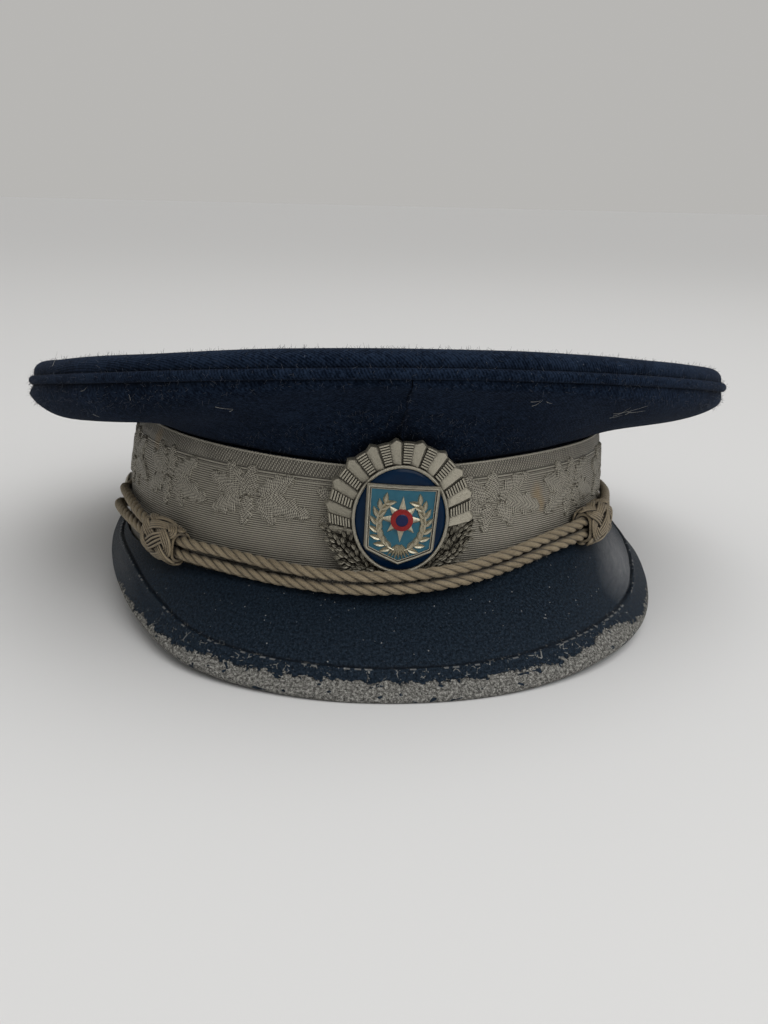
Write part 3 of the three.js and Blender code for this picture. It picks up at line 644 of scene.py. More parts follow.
inset = np.cumsum(slope[:, ::-1], axis=1)[:, ::-1] - slope[:, -1:]
fromStitch = inset - smoothCurve(peakLook["stitch"], np.abs(edgeArc))[:, 0][:, None]
fade = np.clip((edgeArc[-1] - 3 - np.abs(edgeArc)) / 10, 0, 1)[:, None]
puckers = 1 + peakLook["pucker"] * np.sin(edgeArc * 2 * math.pi / peakLook["stitchPitch"])[:, None]
press = (-peakLook["groove"] * np.exp(-(fromStitch / 0.42) ** 2) * puckers
         + peakLook["ridge"] * np.exp(-((fromStitch + 1.0) / 0.6) ** 2))
uneven = np.array([[noise.noise(Vector((a * 0.03, b * 0.08, 5))) for b in row] for a, row in zip(edgeArc, inset)])
half = peakLook["wall"] / 2
raised = half + fade * (press + peakLook["waviness"] * uneven)
noseTurns = np.radians(peakLook["noseTurns"])
noseReach, noseRise = half * 0.75 * np.sin(noseTurns), half * np.cos(noseTurns)
lowOut, lowUp = out - normalOut * half, up - normalUp * half
sectionOut = np.concatenate([out + normalOut * raised, out[:, -1:] + noseReach * normalUp[:, -1:]
                             + noseRise * normalOut[:, -1:], lowOut[:, ::-4]], 1)
sectionUp = np.concatenate([up + normalUp * raised, up[:, -1:] - noseReach * normalOut[:, -1:]
                            + noseRise * normalUp[:, -1:], lowUp[:, ::-4]], 1)
peakPoints = beside(peakAngles, sectionOut / 1000, sectionUp / 1000)
peakPoints[..., 2] = np.maximum(peakPoints[..., 2], tableAt(peakPoints[..., 1]))
peakUvs = np.full((peakLook["steps"], sectionOut.shape[1] + 1, 2), -3.0)
peakUvs[..., 0] = edgeArc[:, None]
peakUvs[:, :peakLook["shares"], 1] = inset
peakUvs[:, peakLook["shares"]:peakLook["shares"] + len(noseTurns), 1] = np.linspace(-0.4, -2.6, len(noseTurns))
peak = gridPiece("peakPlate", tipBack(peakPoints), peakUvs / 1000)

wearLook = {
    "reach": 160,
    # along the edge, width in from it
    "widths": ((-160, 0), (-118, 0.4), (-100, 0.8), (-90, 1.2), (-78, 2.2), (-66, 3.8), (-53, 4.8), (-26, 5.2),
        (0, 5.4), (26, 5.0), (40, 4.4), (53, 4.0), (62, 4.8), (72, 6.8), (82, 5.0), (90, 2.0), (102, 0.8),
        (135, 0)),
    "fibre": ((0.4, (0.03, 0.03, 0.028)), (0.5, (0.14, 0.136, 0.126)), (0.6, (0.42, 0.415, 0.385))),
    "dark": (0.0008, 0.0038, 0.0082), "light": (0.0205, 0.034, 0.0525), "sparkle": (0.085, 0.095, 0.115),
    "scratchedSheen": (0.16, 0.165, 0.175), "groove": (0.001, 0.0015, 0.003), "thread": (0.28, 0.28, 0.27),
    "speck": (0.4, 0.4, 0.4), "chip": (0.36, 0.355, 0.33),
}
peakCoat = newMaterial("peak coating", (0.006, 0.01, 0.021), 0.5, specular=0.08)
where, u, v, _ = millimetres(peakCoat)
wearWide = ramp(u * (0.5 / wearLook["reach"]) + 0.5,
                [(0.5 + 0.5 * along / wearLook["reach"], wide / 10) for along, wide in wearLook["widths"]])
ragged = grain(where, 0.34, 6, 0.68)
onEdge = v > -2.0
islands = grain(where, 0.33, 1, 0.3, (0.8, 1.3, 1)) < 0.68
worn = between(wearWide * 10.0 + (ragged * 9.0 - 4.6) - v, -0.1, 0.2) * onEdge * ((wearWide > 0.03) * islands)
cracked = (cells(where, 0.42, "DISTANCE_TO_EDGE") < 0.04) * (ragged > 0.55)
chipped = cracked * between(v, 8.5, 10.5, 1.0, 0.0) * between(abs(u), 60.0, 100.0, 1.0, 0.1) * onEdge
fibre = grain(where, 1.15, 5, 0.9)
coatGrain = ramp(grain(where, 1.0, 5, 0.9), [(0.43, 0.0), (0.62, 1.0)])
span, deepest = peakLook["stitchSpan"]
pastRow = v - ramp(abs(u) / span, [(far / span, deep / deepest) for far, deep in peakLook["stitch"]]) * deepest
# painted sheen with real scratches in it: a pale patch inside the stitch line on the right and a fainter one along
# the left edge
scratchedSheen = spot(u, v, (122, 14), (36, 13)) * between(pastRow, 0.2, 0.9) + spot(u, v, (-142, 2.5), (36, 5)) * 0.25
scratches = grain(where, 0.5, 4, 0.7, (0.25, 1.6, 1))
dashes = (waves(u, v, 0, peakLook["stitchPitch"]) > 0.35) * (grain(where, 0.16, 3, 0.6) > 0.52)
coat = mixColour(coatGrain, wearLook["dark"], wearLook["light"])
for share, shade in (((grain(where, 1.6, 3, 0.8) > 0.64) * 0.55, "sparkle"),
                     (scratchedSheen * (scratches * 1.35 + 0.16), "scratchedSheen"),
                     # painted shade darkening the coat along the stitch groove
                     (between(abs(pastRow), 0.2, 0.8, 0.6, 0.0), "groove"),
                     ((abs(pastRow + 0.9) < 0.3) * dashes * 0.4, "thread"),
                     ((cells(where, 0.4) < 0.09) * (ragged > 0.52) * 0.65, "speck"), (chipped * 0.5, "chip")):
    coat = mixColour(share, coat, wearLook[shade])
coatHeight = grain(where, 1.3, 4, 0.8) * (1.0 - worn) + worn * (fibre * 1.4 - 1.6)
coatRoughness = worn * 0.35 + (coatGrain * 0.12 + 0.46)
finish(mixColour(worn, coat, ramp(fibre, wearLook["fibre"])), coatHeight, 0.0004, coatRoughness)
dress(peak, peakCoat, ["peak"], 50)
print("stage 6: peak")

# Chin cord: one loop of three-ply twist, doubled across the front and turned round a button at each side
cordLook = {
    "radius": 1.8, "ply": 0.97, "plyOffset": 0.86, "pitch": 12.6, "step": 0.85, "sides": 8, "gap": 0.3,
    "buttonAngle": 100, "turnRadius": 4.3, "dark": (0.038, 0.025, 0.012), "light": (0.37, 0.295, 0.185),
    # groove is the painted shade colour for the hollows between the plies and strands
    "groove": (0.012, 0.008, 0.005),
    # angle, height, lift, spread and lean
    "rows": ((-100, 12, 0, 4.3, 0), (-92, 12.4, 0, 3.1, 0), (-80, 16, 1.2, 2.8, 0.8), (-72, 16.5, 1.4, 2.5, 0.9),
        (-65, 15.9, 1.9, 2.2, 0.6), (-56, 13.9, 2.9, 2.1, 0), (-43, 10.4, 2.9, 2.1, 0), (-37, 9.6, 1.6, 2.2, 0),
        (-32, 8.8, 0.8, 2.3, 0), (-22, 7.4, 1, 2.1, 0), (-10, 6.9, 4, 1.95, 0), (0, 7.2, 4.4, 1.95, 0),
        (10, 8.6, 4, 1.95, 0), (22, 10.8, 1, 1.95, 0), (32, 13.6, 0.8, 1.95, 0), (43, 16.1, 2.9, 2.1, 0),
        (53, 17.4, 2.9, 2.1, 0), (64, 17.9, 0.8, 2.1, 0), (76, 17.2, 0.5, 2.3, 0), (86, 16.6, 0.2, 3, 0),
        (100, 16, 0, 4.3, 0)),
}


def cordPlace(degrees, strand):  # strand is 1 on the upper strand and -1 on the lower one
    height, stand, spread, lean = np.moveaxis(smoothCurve(cordLook["rows"], degrees), -1, 0)
    up = (height + spread * strand) / 1000
    out = flareAt(np.radians(degrees), up) + (cordLook["gap"] + cordLook["radius"] + stand - lean * strand) / 1000
    return beside(np.radians(degrees), out, up)


degrees, strands = [], []
turnAngle = math.degrees(cordLook["turnRadius"] / 1000 / halfWidth)
turn = np.linspace(0, math.pi, 30)[1:-1]
for side in (1, -1):
    degrees += [side * (2 * np.linspace(0, 1, 400) - 1) * cordLook["buttonAngle"],
                side * (cordLook["buttonAngle"] + turnAngle * np.sin(turn))]
    strands += [np.full(400, float(side)), side * np.cos(turn)]
degrees, strands = np.concatenate(degrees), np.concatenate(strands)
cordLoop = cordPlace(degrees, strands)
cordLoop = np.concatenate([cordLoop, cordLoop[:1]])
arc = lengthAlong(cordLoop)
cordLength = arc[-1]
at = np.linspace(0, cordLength, int(cordLength * 1000 / cordLook["step"]), endpoint=False)
cordLine = np.stack([np.interp(at, arc, cordLoop[:, k]) for k in range(3)], -1)
heading = np.radians(np.interp(at, arc, np.concatenate([degrees, degrees[:1]])))
cordOut = unit(beside(heading, 0.001, 0) - beside(heading, 0, 0))
cordSide = np.cross(unit(np.roll(cordLine, -1, 0) - np.roll(cordLine, 1, 0)), cordOut)
cordTurns = round(cordLength * 1000 / cordLook["pitch"])
plies = []
for k in range(3):
    turn = 2 * math.pi * (k / 3 + cordTurns * np.arange(len(cordLine)) / len(cordLine))[:, None]
    away = np.cos(turn) * cordOut + np.sin(turn) * cordSide
    rings, uvs = tubeAlong(cordLine + away * cordLook["plyOffset"] / 1000, away, cordLook["ply"] / 1000,
                           cordLook["sides"], uvOffset=k * 0.01)
    plies.append(gridPiece("ply", tipBack(rings), uvs, looped=True))
chinCord = joinPieces(plies, "chinCordTwist")

cordThread = newMaterial("cord thread", (0.3, 0.24, 0.155), 0.48, specular=0.6, sheen=0.08)
where, u, v, _ = millimetres(cordThread)
yarns = waves(u, v, 74, 0.36)
strayFibres = grain(where, 2.2, 3, 0.7, (0.5, 2, 1))
tone = yarns * 0.45 + (grain(where, 0.05, 3, 0.6) * 0.8 + strayFibres * 0.7)
thread = mixColour(ramp(tone, [(0.55, 0.0), (1.35, 1.0)]), cordLook["dark"], cordLook["light"])
# painted shade: the thread darkens where it lies in a hollow between plies and strands
finish(mixColour(openness(cordThread, 0.0022) ** 1.7, cordLook["groove"], thread), yarns + strayFibres, 0.00014)
dress(chinCord, cordThread, ["chin_cord"], 70)
print("stage 7: chin cord, %.0f mm long" % (cordLength * 1000))

# Knots: a few threads side by side, woven over and under round both strands
knotLook = {
    "angles": {"left": -49.0, "right": 47.5}, "length": 18.3, "threads": 4, "thread": 0.43, "spacing": 0.8,
    "leads": 4, "bights": 7, "weave": 0.42, "wall": 2.0, "steps": 560, "perimeter": 33.0, "inside": 0.75,
    "endRoom": 1.6, "coreSides": 28, "coreRows": 9, "coreLength": 0.94,
}


def knotSurface(side, theta, along, wall):  # a barrel-shaped sleeve round both strands
    angle = knotLook["angles"][side]
    middle, upper = cordPlace(np.array([angle]), 0)[0], cordPlace(np.array([angle]), 1)[0]
    ends = cordPlace(np.array([angle - 1, angle + 1]), 0)
    axis = (ends[1] - ends[0]) / np.linalg.norm(ends[1] - ends[0])
    tall = (upper - middle) - np.dot(upper - middle, axis) * axis
    spread = np.linalg.norm(upper - middle)
    tall /= np.linalg.norm(tall)
    deep = np.cross(axis, tall)
    outward = np.array([middle[0], middle[1], 0])
    outward /= np.linalg.norm(outward)
    barrel = 1 - 0.32 * (2 * along / knotLook["length"]) ** 2
    reach = (cordLook["radius"] + cordLook["gap"] + wall * barrel) / 1000
    shift = spread * np.tanh(2.5 * np.sin(theta)) * (0.82 + 0.18 * barrel)
    along = along / 1000
    return (middle + along[..., None] * axis - (along**2 / 0.208)[..., None] * outward
            + (shift + reach * np.sin(theta))[..., None] * tall + (reach * np.cos(theta))[..., None] * deep)


leads, bights, knotWall = knotLook["leads"], knotLook["bights"], knotLook["wall"]
s = fullTurn(knotLook["steps"])
swing = knotLook["length"] / 2 - knotLook["endRoom"]
ahead = leads * knotLook["perimeter"] / (2 * math.pi)
sideways = -bights * np.sin(bights * s) * swing
norm = np.hypot(ahead, sideways)
over = knotWall + knotLook["weave"] * np.sin((leads - 1) * bights * s)
coreSides, coreRows, coreEnd = knotLook["coreSides"], knotLook["coreRows"], knotLook["coreLength"] / 2
turns, lengths = np.meshgrid(fullTurn(coreSides), np.linspace(-coreEnd, coreEnd, coreRows) * knotLook["length"])
coreUvs = np.stack(np.meshgrid(np.arange(2 * coreRows + 1) * 0.0018, np.arange(coreSides + 1) * 0.0009,
                               indexing="ij"), -1)
for side in ("left", "right"):
    threads = []
    for k in range(knotLook["threads"]):
        shift = (k - (knotLook["threads"] - 1) / 2) * knotLook["spacing"]
        along = np.cos(bights * s) * swing + shift * ahead / norm
        theta = leads * s - shift * sideways / norm * 2 * math.pi / knotLook["perimeter"]
        path = knotSurface(side, theta, along, over)
        away = unit(knotSurface(side, theta, along, over + 0.5) - path)
        rings, uvs = tubeAlong(path, away, knotLook["thread"] / 1000, 6, uvOffset=k * 0.01)
        threads.append(gridPiece("thread", tipBack(rings), uvs, looped=True))
    core = np.concatenate([knotSurface(side, turns, lengths, knotWall - knotLook["inside"]),
                           knotSurface(side, turns, lengths, 0.1)[::-1]])
    threads.append(gridPiece("core", tipBack(core), coreUvs, looped=True))
    knot = joinPieces(threads, "wovenKnot_" + side)
    dress(knot, cordThread, ["knot_" + side], 70)
print("stage 8: knots")

# Fuzz and lint: short hairs standing in the cloth, and pale threads caught on it
fuzzLook = {
    "count": 20000, "length": (0.0005, 0.0017), "radius": 0.000055, "colour": (0.03, 0.038, 0.055),
    "dark": (0.008, 0.012, 0.02), "light": (0.075, 0.085, 0.11),
    # share of the hairs on each cloth
    "shares": (("crownQuarter_left", 0.3), ("crownQuarter_right", 0.3), ("crownTop", 0.32), ("pipingCord", 0.08)),
}
lintLook = {
    "colour": (0.3, 0.3, 0.3), "dark": (0.14, 0.14, 0.14), "light": (0.42, 0.42, 0.4), "radius": 0.00007,
    # angle from the front, height, length, turn and curl
    "threads": ((-60, 66.5, 4.6, 75, 0.4), (-50, 60.5, 3.6, 5, 0.4), (-50.5, 53.5, 2.0, -60, 0.5),
        (-40, 59.5, 2.4, 60, 0.3), (-27.5, 59, 4.5, -35, 0.4), (-26.5, 57.5, 2.2, 30, 0.5),
        (18, 61.5, 2.4, -20, 0.6), (19, 60, 3.6, 30, 0.7), (20.3, 61.5, 2.2, -60, 0.5),
        (34.5, 56.5, 6.5, -15, 1.2), (35.5, 55.5, 5.0, 30, 1.3), (36.3, 57, 4.4, -45, 1.0), (37, 56, 3.6, 60, 0.9),
        (35.8, 54.8, 3.0, 0, 0.8), (88, 52, 2.4, 50, 0.7), (-110, 53, 3.5, 30, 0.8), (-150, 54, 2.8, -20, 0.6),
        (150, 53, 3.2, 45, 0.7), (115, 51, 2.6, -30, 0.6), (180, 53, 3.0, 10, 0.5)),
}


def hairGrid(start, along, aside, length, radius, curl, steps):  # a thin three-sided hair, bent sideways
    t = np.linspace(0, 1, steps)[:, None]
    line = start + along * length * t + aside * curl * length * t * t
    turns = np.radians([0, 120, 240])[:, None]
    ring = radius * (np.cos(turns) * aside + np.sin(turns) * np.cross(along, aside))
    return line[:, None] + ring[None] * (1 - 0.6 * t)[:, :, None]


seedFuzz = random.Random(21)
fuzzPoints, fuzzFaces = [], []
for clothName, share in fuzzLook["shares"]:
    cloth = bpy.data.objects[clothName].data
    outer = [face for face in cloth.polygons if face.normal.z > -0.75]
    for face in seedFuzz.choices(outer, [face.area for face in outer], k=int(fuzzLook["count"] * share)):
        corners = [cloth.vertices[i].co for i in face.vertices[:3]]
        a, b = sorted((seedFuzz.random(), seedFuzz.random()))
        start = np.array(corners[0] * a + corners[1] * (b - a) + corners[2] * (1 - b))
        normal = np.array(face.normal)
        loose = np.array([seedFuzz.uniform(-1, 1) for _ in range(3)])
        along = normal * seedFuzz.uniform(0.1, 0.9) + loose * 0.8
        along /= np.linalg.norm(along)
        aside = np.cross(along, loose[::-1] + normal * 0.3)
        aside /= np.linalg.norm(aside)
        length, curl = seedFuzz.uniform(*fuzzLook["length"]), seedFuzz.uniform(-0.7, 0.7)
        hair = hairGrid(start - normal * 0.0001, along, aside, length, fuzzLook["radius"], curl, 2)
        addGrid(fuzzPoints, fuzzFaces, hair)
fuzz = newPiece("clothFuzz", fuzzPoints, fuzzFaces)
fuzzHair = mottled("cloth fuzz", fuzzLook["colour"], 0.8, fuzzLook["dark"], fuzzLook["light"], 0.2, 2)
dress(fuzz, fuzzHair, smoothAngle=60)

crownShapes = [bpy.data.objects[name] for name, _ in fuzzLook["shares"][:3]]
lintPoints, lintFaces = [], []
for degrees, height, long, turn, curl in lintLook["threads"]:
    angle = math.radians(degrees)
    far = Vector(tipBack(beside(angle, 0.09, height / 1000)))
    inward = (Vector(tipBack(beside(angle, 0, height / 1000))) - far).normalized()
    hits = [hit for hit in (shape.ray_cast(far, inward) for shape in crownShapes) if hit[0]]
    _, place, normal, _ = min(hits, key=lambda hit: (hit[1] - far).length)
    level = Vector((0, 0, 1)).cross(normal).normalized()
    along = level * math.cos(math.radians(turn)) + normal.cross(level) * math.sin(math.radians(turn))
    start, aside = np.array(place + normal * 0.00025), np.cross(np.array(normal), np.array(along))
    addGrid(lintPoints, lintFaces, hairGrid(start, np.array(along), aside, long / 1000, lintLook["radius"], curl, 8))
lint = newPiece("caughtLint", lintPoints, lintFaces)
lintThread = mottled("pale lint", lintLook["colour"], 0.8, lintLook["dark"], lintLook["light"], 0.5, 2)
dress(lint, lintThread, smoothAngle=60)
print("stage 9: fuzz and lint")

# Badge: drawn flat in millimetres, x across, y up and z out, then bent and leant onto the band
badgeLook = {
    "height": 28, "lean": 94.8, "standOff": 2, "curve": 82, "halfWidth": 22.4, "halfHeight": 22.2, "pairs": 18,
    "base": 1.1, "relief": 1.4, "ribbedShare": 0.54, "innerWidth": 14.4, "innerHeight": 16.6, "up": -2.2,
    "pleatsTo": 104, "bars": 8, "barRise": 0.6,
    # share out, leaves
    "leafRows": ((0.04, 13), (0.2, 14), (0.36, 15), (0.53, 16), (0.7, 17), (0.86, 17), (1.0, 16)),
    "leaf": (2.7, 1.5), "leavesFrom": 100, "leavesTo": 176,
    # share out, share of the height
    "section": ((0, 0.0), (0, 0.9), (0.1, 1.0), (0.35, 1.0), (0.65, 1.0), (0.93, 0.97), (1.0, 0.55), (1.0, 0.0)),
    "dark": (0.025, 0.022, 0.017), "light": (0.37, 0.345, 0.28),
}


def placeBadge(points):
    x, y, z = np.moveaxis(np.asarray(points, float), -1, 0)
    bent = z - x**2 / (2 * badgeLook["curve"])
    back, up = swung(y + badgeLook["halfHeight"], bent, math.radians(badgeLook["lean"]))
    back = back - halfLength * 1000 - badgeLook["standOff"]
    return tipBack(np.stack([x, back, up + badgeLook["height"] - badgeLook["halfHeight"]], -1) / 1000)


def badgeEllipse(angle, share):  # angle from the top, share 0 at the disc and 1 at the outer edge
    across, up = np.sin(angle), np.cos(angle)
    inner = np.stack([badgeLook["innerWidth"] * across, badgeLook["innerHeight"] * up + badgeLook["up"]], -1)
    outer = np.stack([badgeLook["halfWidth"] * across, badgeLook["halfHeight"] * up], -1)
    return inner + (outer - inner) * np.asarray(share)[..., None]


perPair = 12
ribbedShare = badgeLook["ribbedShare"]
ringAngles = fullTurn(badgeLook["pairs"] * perPair)
phase = (np.arange(len(ringAngles)) % perPair) / perPair
ribbed = phase < ribbedShare
inPlain = np.where(ribbed, 0, (phase - ribbedShare) / (1 - ribbedShare))
fromTop = np.degrees(np.minimum(ringAngles, 2 * math.pi - ringAngles))
leafy = np.clip((fromTop - badgeLook["pleatsTo"]) / 6, 0, 1)
tips = np.where(ribbed, 0.85, 0.85 + 0.15 * (1 - np.abs(2 * inPlain - 1)))
edge = tips * (1 - leafy) + 0.92 * leafy
crest = badgeLook["base"] + badgeLook["relief"] * np.where(ribbed, 0.42, 0.5 + 0.5 * inPlain) * (1 - leafy)
ringPoints = np.stack([np.concatenate([badgeEllipse(ringAngles, share * edge), (crest * rise)[:, None]], -1)
                       for share, rise in badgeLook["section"]], 1)
pieces = [gridPiece("cockadePleats", placeBadge(ringPoints), looped=True)]

barPoints, barFaces = [], []
pairWidth = 2 * math.pi / badgeLook["pairs"]
barFloor = badgeLook["base"] + 0.37 * badgeLook["relief"]
for pair in range(badgeLook["pairs"]):
    start = pair * pairWidth
    middle = start + pairWidth * ribbedShare / 2
    if math.degrees(min(middle, 2 * math.pi - middle)) > badgeLook["pleatsTo"]:
        continue
    low, high = start + pairWidth * 0.02, start + pairWidth * (ribbedShare - 0.06)
    for bar in range(badgeLook["bars"]):
        near = 0.07 + bar * 0.1
        far = near + 0.066
        base = badgeEllipse(np.array([low, high, high, low]), np.array([near, near, far, far]))
        top = base.mean(0) + (base - base.mean(0)) * 0.86
        heights = np.repeat([[[barFloor]], [[barFloor + badgeLook["barRise"]]]], 4, 1)
        addGrid(barPoints, barFaces, np.concatenate([[base, top], heights], -1))
pieces.append(newPiece("crossBars", placeBadge(barPoints), barFaces))


def leafGrid(x0, y0, turn, length, width, base, lift, rows):  # a small domed leaf on the badge
    t = np.linspace(0.02, 0.99, rows)[:, None]
    cross = np.array([-1, -0.55, -0.08, 0.08, 0.55, 1, 0.4, -0.4])
    domeHeight = np.array([0, 0.8, 0.45, 0.45, 0.8, 0, -0.3, -0.3])
    along, aside = length * t + 0 * cross, width / 2 * np.sin(math.pi * t**0.8) ** 0.8 * cross
    x, y = swung(along, aside, turn)
    return np.stack([x + x0, y + y0, base + lift * domeHeight * (0.35 + 0.65 * np.sin(math.pi * t))], -1)


seedBadge = random.Random(11)
for side in (-1, 1):
    for row, (share, count) in enumerate(badgeLook["leafRows"]):
        for i in range(count):
            step = (badgeLook["leavesTo"] - badgeLook["leavesFrom"]) / (count - 0.5)
            a = math.radians(badgeLook["leavesTo"] - (i + 0.5 * (row % 2)) * step)
            x, y = badgeEllipse(np.array(a), share * 0.9)
            turn = math.pi - a - (share - 0.35) * 1.1 - seedBadge.uniform(-0.55, 0.55)
            long, wide = (size * seedBadge.uniform(0.85, 1.15) for size in badgeLook["leaf"])
            base = badgeLook["base"] + seedBadge.uniform(0.0, 0.6)
            grid = leafGrid(x, y - long * 0.35, turn, long, wide, base, 1.0, 7) * (side, 1, 1)
            pieces.append(gridPiece("leaf", placeBadge(grid)))
wreath = joinPieces(pieces, "badgeCockade")

nickel = newMaterial("dull nickel", (0.26, 0.24, 0.195), 0.42, 0.8)
where = millimetres(nickel, "Object")[0]
tarnish = grain(where, 0.75, 5, 0.85)
# tarnish mottling with painted shade: the metal is darkened where it lies in a hollow between bars, panels and leaves
shade = ramp(tarnish * 0.75 + openness(nickel, 0.0014) ** 1.6 * 0.75, [(0.58, 0.0), (1.15, 1.0)])
finish(mixColour(shade, badgeLook["dark"], badgeLook["light"]), tarnish * 1.5 + grain(where, 2.6, 3, 0.7), 0.0002,
       tarnish * 0.25 + 0.3)
dress(wreath, nickel, ["badge_wreath"], 35)

# Disc: a blue enamel oval in a thin bezel
discLook = {
    "halfWidth": 13.4, "halfHeight": 15.6, "sides": 72, "bezelOut": 0.5, "bezelTall": 0.45, "bezelAt": 2.0,
    "bezelRadius": 0.00055, "dark": (0.0005, 0.0065, 0.022), "light": (0.0012, 0.0165, 0.047),
    "rows": ((1.0, 0.2), (1.0, 1.7), (0.985, 1.95), (0.9, 2.2), (0.6, 2.42), (0.3, 2.5), (0.05, 2.52)),
}
enamel = risenPiece("enamelDisc", discLook["sides"], discLook["rows"])
discPoints = meshPoints(enamel) * (discLook["halfWidth"], discLook["halfHeight"], 1) + (0, badgeLook["up"], 0)
setPoints(enamel, placeBadge(discPoints))
blueEnamel = mottled("blue enamel", (0.002, 0.011, 0.045), 0.16, discLook["dark"], discLook["light"], 0.25,
                     depth=0.00008, specular=0.1)
dress(enamel, blueEnamel, ["badge_disc"], 50)

discAngles = fullTurn(discLook["sides"])
bezelFlat = np.stack([(discLook["halfWidth"] + discLook["bezelOut"]) * np.cos(discAngles),
                      (discLook["halfHeight"] + discLook["bezelTall"]) * np.sin(discAngles) + badgeLook["up"],
                      np.full(len(discAngles), discLook["bezelAt"])], -1)
bezelLine = placeBadge(bezelFlat)
bezelRings, bezelUvs = tubeAlong(bezelLine, placeBadge(bezelFlat + (0, 0, 1)) - bezelLine, discLook["bezelRadius"], 8)
dress(gridPiece("discBezel", bezelRings, bezelUvs, looped=True), nickel)

# Shield: sky-blue enamel in a bevelled frame, with a plain star, a roundel and two sprigs
shieldLook = {
    "half": 10.8, "top": 10.8, "height": 24.2, "turn": 3.5, "frame": 1.35, "back": 2.5,
    # shares of the half width and the height
    "outline": ((0, 0), (0.5, 0), (1, 0), (0.98, 0.4), (0.955, 0.79), (0.9, 0.83), (0.5, 0.91), (0, 1)),
    "bevels": ((0, 0), (0, 0.95), (0.45, 1.55), (0.85, 1.5), (0.95, 1.1), (1.15, 1.25), (1.35, 1.2), (1.35, 0)),
    "field": ((1, 0.05), (1, 0.95), (0.7, 1.0), (0.05, 1.02)), "dark": (0.01, 0.066, 0.105),
    "light": (0.024, 0.122, 0.17),
}


def placeShield(points):  # drawn upright round the middle of the disc, then turned a little with the shield
    x, y, z = np.moveaxis(np.asarray(points, float), -1, 0)
    x, y = swung(x, y, -math.radians(shieldLook["turn"]))
    return placeBadge(np.stack([x, y + badgeLook["up"], z], -1))


def shieldRow(inset, share, z):  # the outline moved inwards, square to its own sides, and drawn in by a share
    left = [(-across * shieldLook["half"], shieldLook["top"] - down * shieldLook["height"])
            for across, down in shieldLook["outline"]]
    line = np.array(left + [(-x, y) for x, y in left[-2:0:-1]])
    ahead = unit(np.roll(line, -1, 0) - line)
    before = np.roll(ahead, 1, 0)
    inward = np.stack([-(ahead + before)[:, 1], (ahead + before)[:, 0]], -1)
    line = line + inward / (1 + (ahead * before).sum(1))[:, None] * inset
    return np.concatenate([line * share, np.full((len(line), 1), shieldLook["back"] + z)], 1)


framePoints = np.stack([shieldRow(inset, 1, z) for inset, z in shieldLook["bevels"]], 1)
dress(gridPiece("shieldFrame", placeShield(framePoints), looped=True), nickel, smoothAngle=20)
fieldPoints = np.stack([shieldRow(shieldLook["frame"] - 0.1, share, z) for share, z in shieldLook["field"]])
skyEnamel = mottled("sky enamel", (0.025, 0.13, 0.22), 0.2, shieldLook["dark"], shieldLook["light"], 0.4,
                    depth=0.0001, specular=0.25)
dress(gridPiece("shieldField", placeShield(fieldPoints)), skyEnamel, ["badge_shield"], 30)

emblemLook = {
    "starUp": 0.6, "starPoints": 8, "starReach": (7.0, 5.6), "starWaist": 3.0, "starRise": 1.0, "roundel": 3.3,
    "level": 3.45, "sprig": (7.1, 8.4, -0.6), "sprigLeaf": (3.6, 1.8), "stem": 0.00034, "dark": (0.2, 0.175, 0.12),
    "light": (0.6, 0.555, 0.43),
    # name, share of the width, from, to, colour
    "roundels": (("roundelRed", 1, 0.5, 1.25, (0.2, 0.012, 0.012)),
        ("roundelNavy", 0.56, 1.1, 1.42, (0.006, 0.01, 0.05))),
}
level = emblemLook["level"]
starRise = emblemLook["starRise"]
star = risenPiece("star", emblemLook["starPoints"] * 2,
                  ((1.0, 0.0), (1.0, 0.25), (0.45, starRise * 0.8), (0.05, starRise)))
starPoints = meshPoints(star)
spoke = np.rint(np.arctan2(starPoints[:, 0], starPoints[:, 1]) / (math.pi / emblemLook["starPoints"])).astype(int)
reach = np.where(spoke % 2, emblemLook["starWaist"], np.where(spoke % 4, *emblemLook["starReach"][::-1]))
starPoints[:, :2] *= reach[:, None]
setPoints(star, placeShield(starPoints + (0, emblemLook["starUp"], level)))
emblem = [star]
sprigWide, sprigTall, sprigUp = emblemLook["sprig"]
for side in (-1, 1):
    for i in range(8):
        a = math.radians(160 - i * 16)
        x, y = sprigWide * math.sin(a), sprigTall * math.cos(a) + sprigUp
        for way in (-1, 1):
            grid = leafGrid(x, y, math.pi - a + way * 0.6, *emblemLook["sprigLeaf"], level, 0.85, 6) * (side, 1, 1)
            emblem.append(gridPiece("sprig", placeShield(grid)))
    stemAngles = np.radians(np.linspace(168, 48, 14))
    stemLine = np.stack([side * sprigWide * np.sin(stemAngles), sprigTall * np.cos(stemAngles) + sprigUp,
                         np.full(14, level + 0.2)], -1)
    placed = placeShield(stemLine)
    rings, uvs = tubeAlong(placed, unit(placeShield(stemLine + (0, 0, 1)) - placed), emblemLook["stem"], 6, False)
    emblem.append(gridPiece("stem", rings, uvs))
for turn in range(-3, 4):  # a small fan of rays under the star
    angle = -math.pi / 2 + turn * 0.22
    ray = leafGrid(0.9 * math.cos(angle), -6.3 + 0.9 * math.sin(angle), angle, 4.6, 1.0, level, 0.75, 6)
    emblem.append(gridPiece("ray", placeShield(ray)))
emblemRelief = joinPieces(emblem, "emblemRelief")
gilt = mottled("pale gilt", (0.45, 0.4, 0.27), 0.34, emblemLook["dark"], emblemLook["light"], 1.3, 4, 0.7,
               depth=0.00012, metallic=0.85)
dress(emblemRelief, gilt, ["badge_star"], 30)

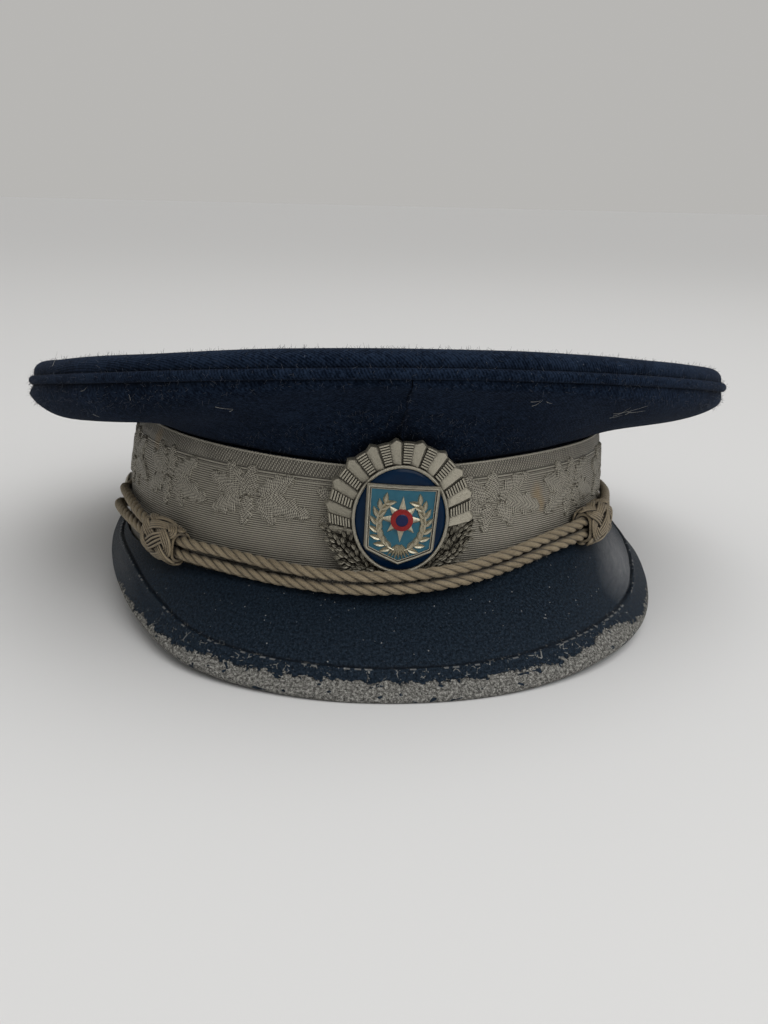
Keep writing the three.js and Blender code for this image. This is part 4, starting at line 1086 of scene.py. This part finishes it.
for name, wide, low, high, colour in emblemLook["roundels"]:
    roundel = risenPiece(name, 32, ((1.0, low), (1.0, high - 0.12), (0.9, high), (0.05, high + 0.05)))
    radius = emblemLook["roundel"] * wide
    setPoints(roundel, placeShield(meshPoints(roundel) * (radius, radius, 1) + (0, emblemLook["starUp"], level)))
    dark, light = (tuple(c * share for c in colour) for share in (0.6, 1.5))
    paint = mottled(name + " enamel", colour, 0.2, dark, light, 0.9, specular=0.2)
    dress(roundel, paint, smoothAngle=30)

for side in ("left", "right"):
    dress(softCopy("button_" + side, "sideButton_" + side, 2), nickel, ["button_" + side], 50, False)
print("stage 10: badge and buttons")

# Floor, light and camera
studioLook = {
    "floor": (0.645, 0.645, 0.645), "floorSize": 60, "world": (0.97, 0.955, 0.925), "worldStrength": 0.49,
    "sky": 0.85, "skyTurn": (4, 17, 0), "skySoftness": 80,
    # name, place, target, size, power
    "lamps": (("overhead", (0.4, 0.1, 1.4), (0, 0, 0), 1.6, 5),
        ("frontFill", (0.5, -1.2, 0.9), (0, -0.1, 0), 1.0, 8)),
}
bpy.ops.mesh.primitive_plane_add(size=studioLook["floorSize"], location=(0, 0, 0))
floor = bpy.context.object
floor.name = "studioFloor"
floor.data.materials.append(newMaterial("floor paint", studioLook["floor"], 0.7))

world = bpy.context.scene.world or bpy.data.worlds.new("studio")
bpy.context.scene.world = world
world.use_nodes = True
world.node_tree.nodes["Background"].inputs["Color"].default_value = (*studioLook["world"], 1)
world.node_tree.nodes["Background"].inputs["Strength"].default_value = studioLook["worldStrength"]

for name, place, target, size, power in studioLook["lamps"]:
    bpy.ops.object.light_add(type="AREA", location=place)
    lamp = bpy.context.object
    lamp.name = name
    lamp.data.size = size
    lamp.data.energy = power
    lamp.rotation_euler = (Vector(target) - Vector(place)).to_track_quat("-Z", "Y").to_euler()
bpy.ops.object.light_add(type="SUN", location=(0, 0, 2), rotation=[math.radians(t) for t in studioLook["skyTurn"]])
skyLight = bpy.context.object
skyLight.name = "skyLight"
skyLight.data.energy = studioLook["sky"]
skyLight.data.angle = math.radians(studioLook["skySoftness"])

bpy.context.scene.view_settings.view_transform = "Standard"
cameraLook = {
    "place": (-0.03895, -0.39592, 0.1322), "ahead": (0.10022, 0.95357, -0.28402), "roll": 1.38, "lens": 36.914,
}
bpy.ops.object.camera_add(location=cameraLook["place"])
camera = bpy.context.object
camera.data.lens = cameraLook["lens"]
camera.data.sensor_width = 36
camera.data.clip_start = 0.01
ahead = Vector(cameraLook["ahead"]).normalized()
level = ahead.cross(Vector((0, 0, 1))).normalized()
upright = level.cross(ahead)
roll = math.radians(cameraLook["roll"])
right = level * math.cos(roll) + upright * math.sin(roll)
top = upright * math.cos(roll) - level * math.sin(roll)
camera.matrix_world = Matrix((right, top, -ahead)).transposed().to_4x4()
camera.location = cameraLook["place"]
bpy.context.scene.camera = camera
print("stage 11: studio")
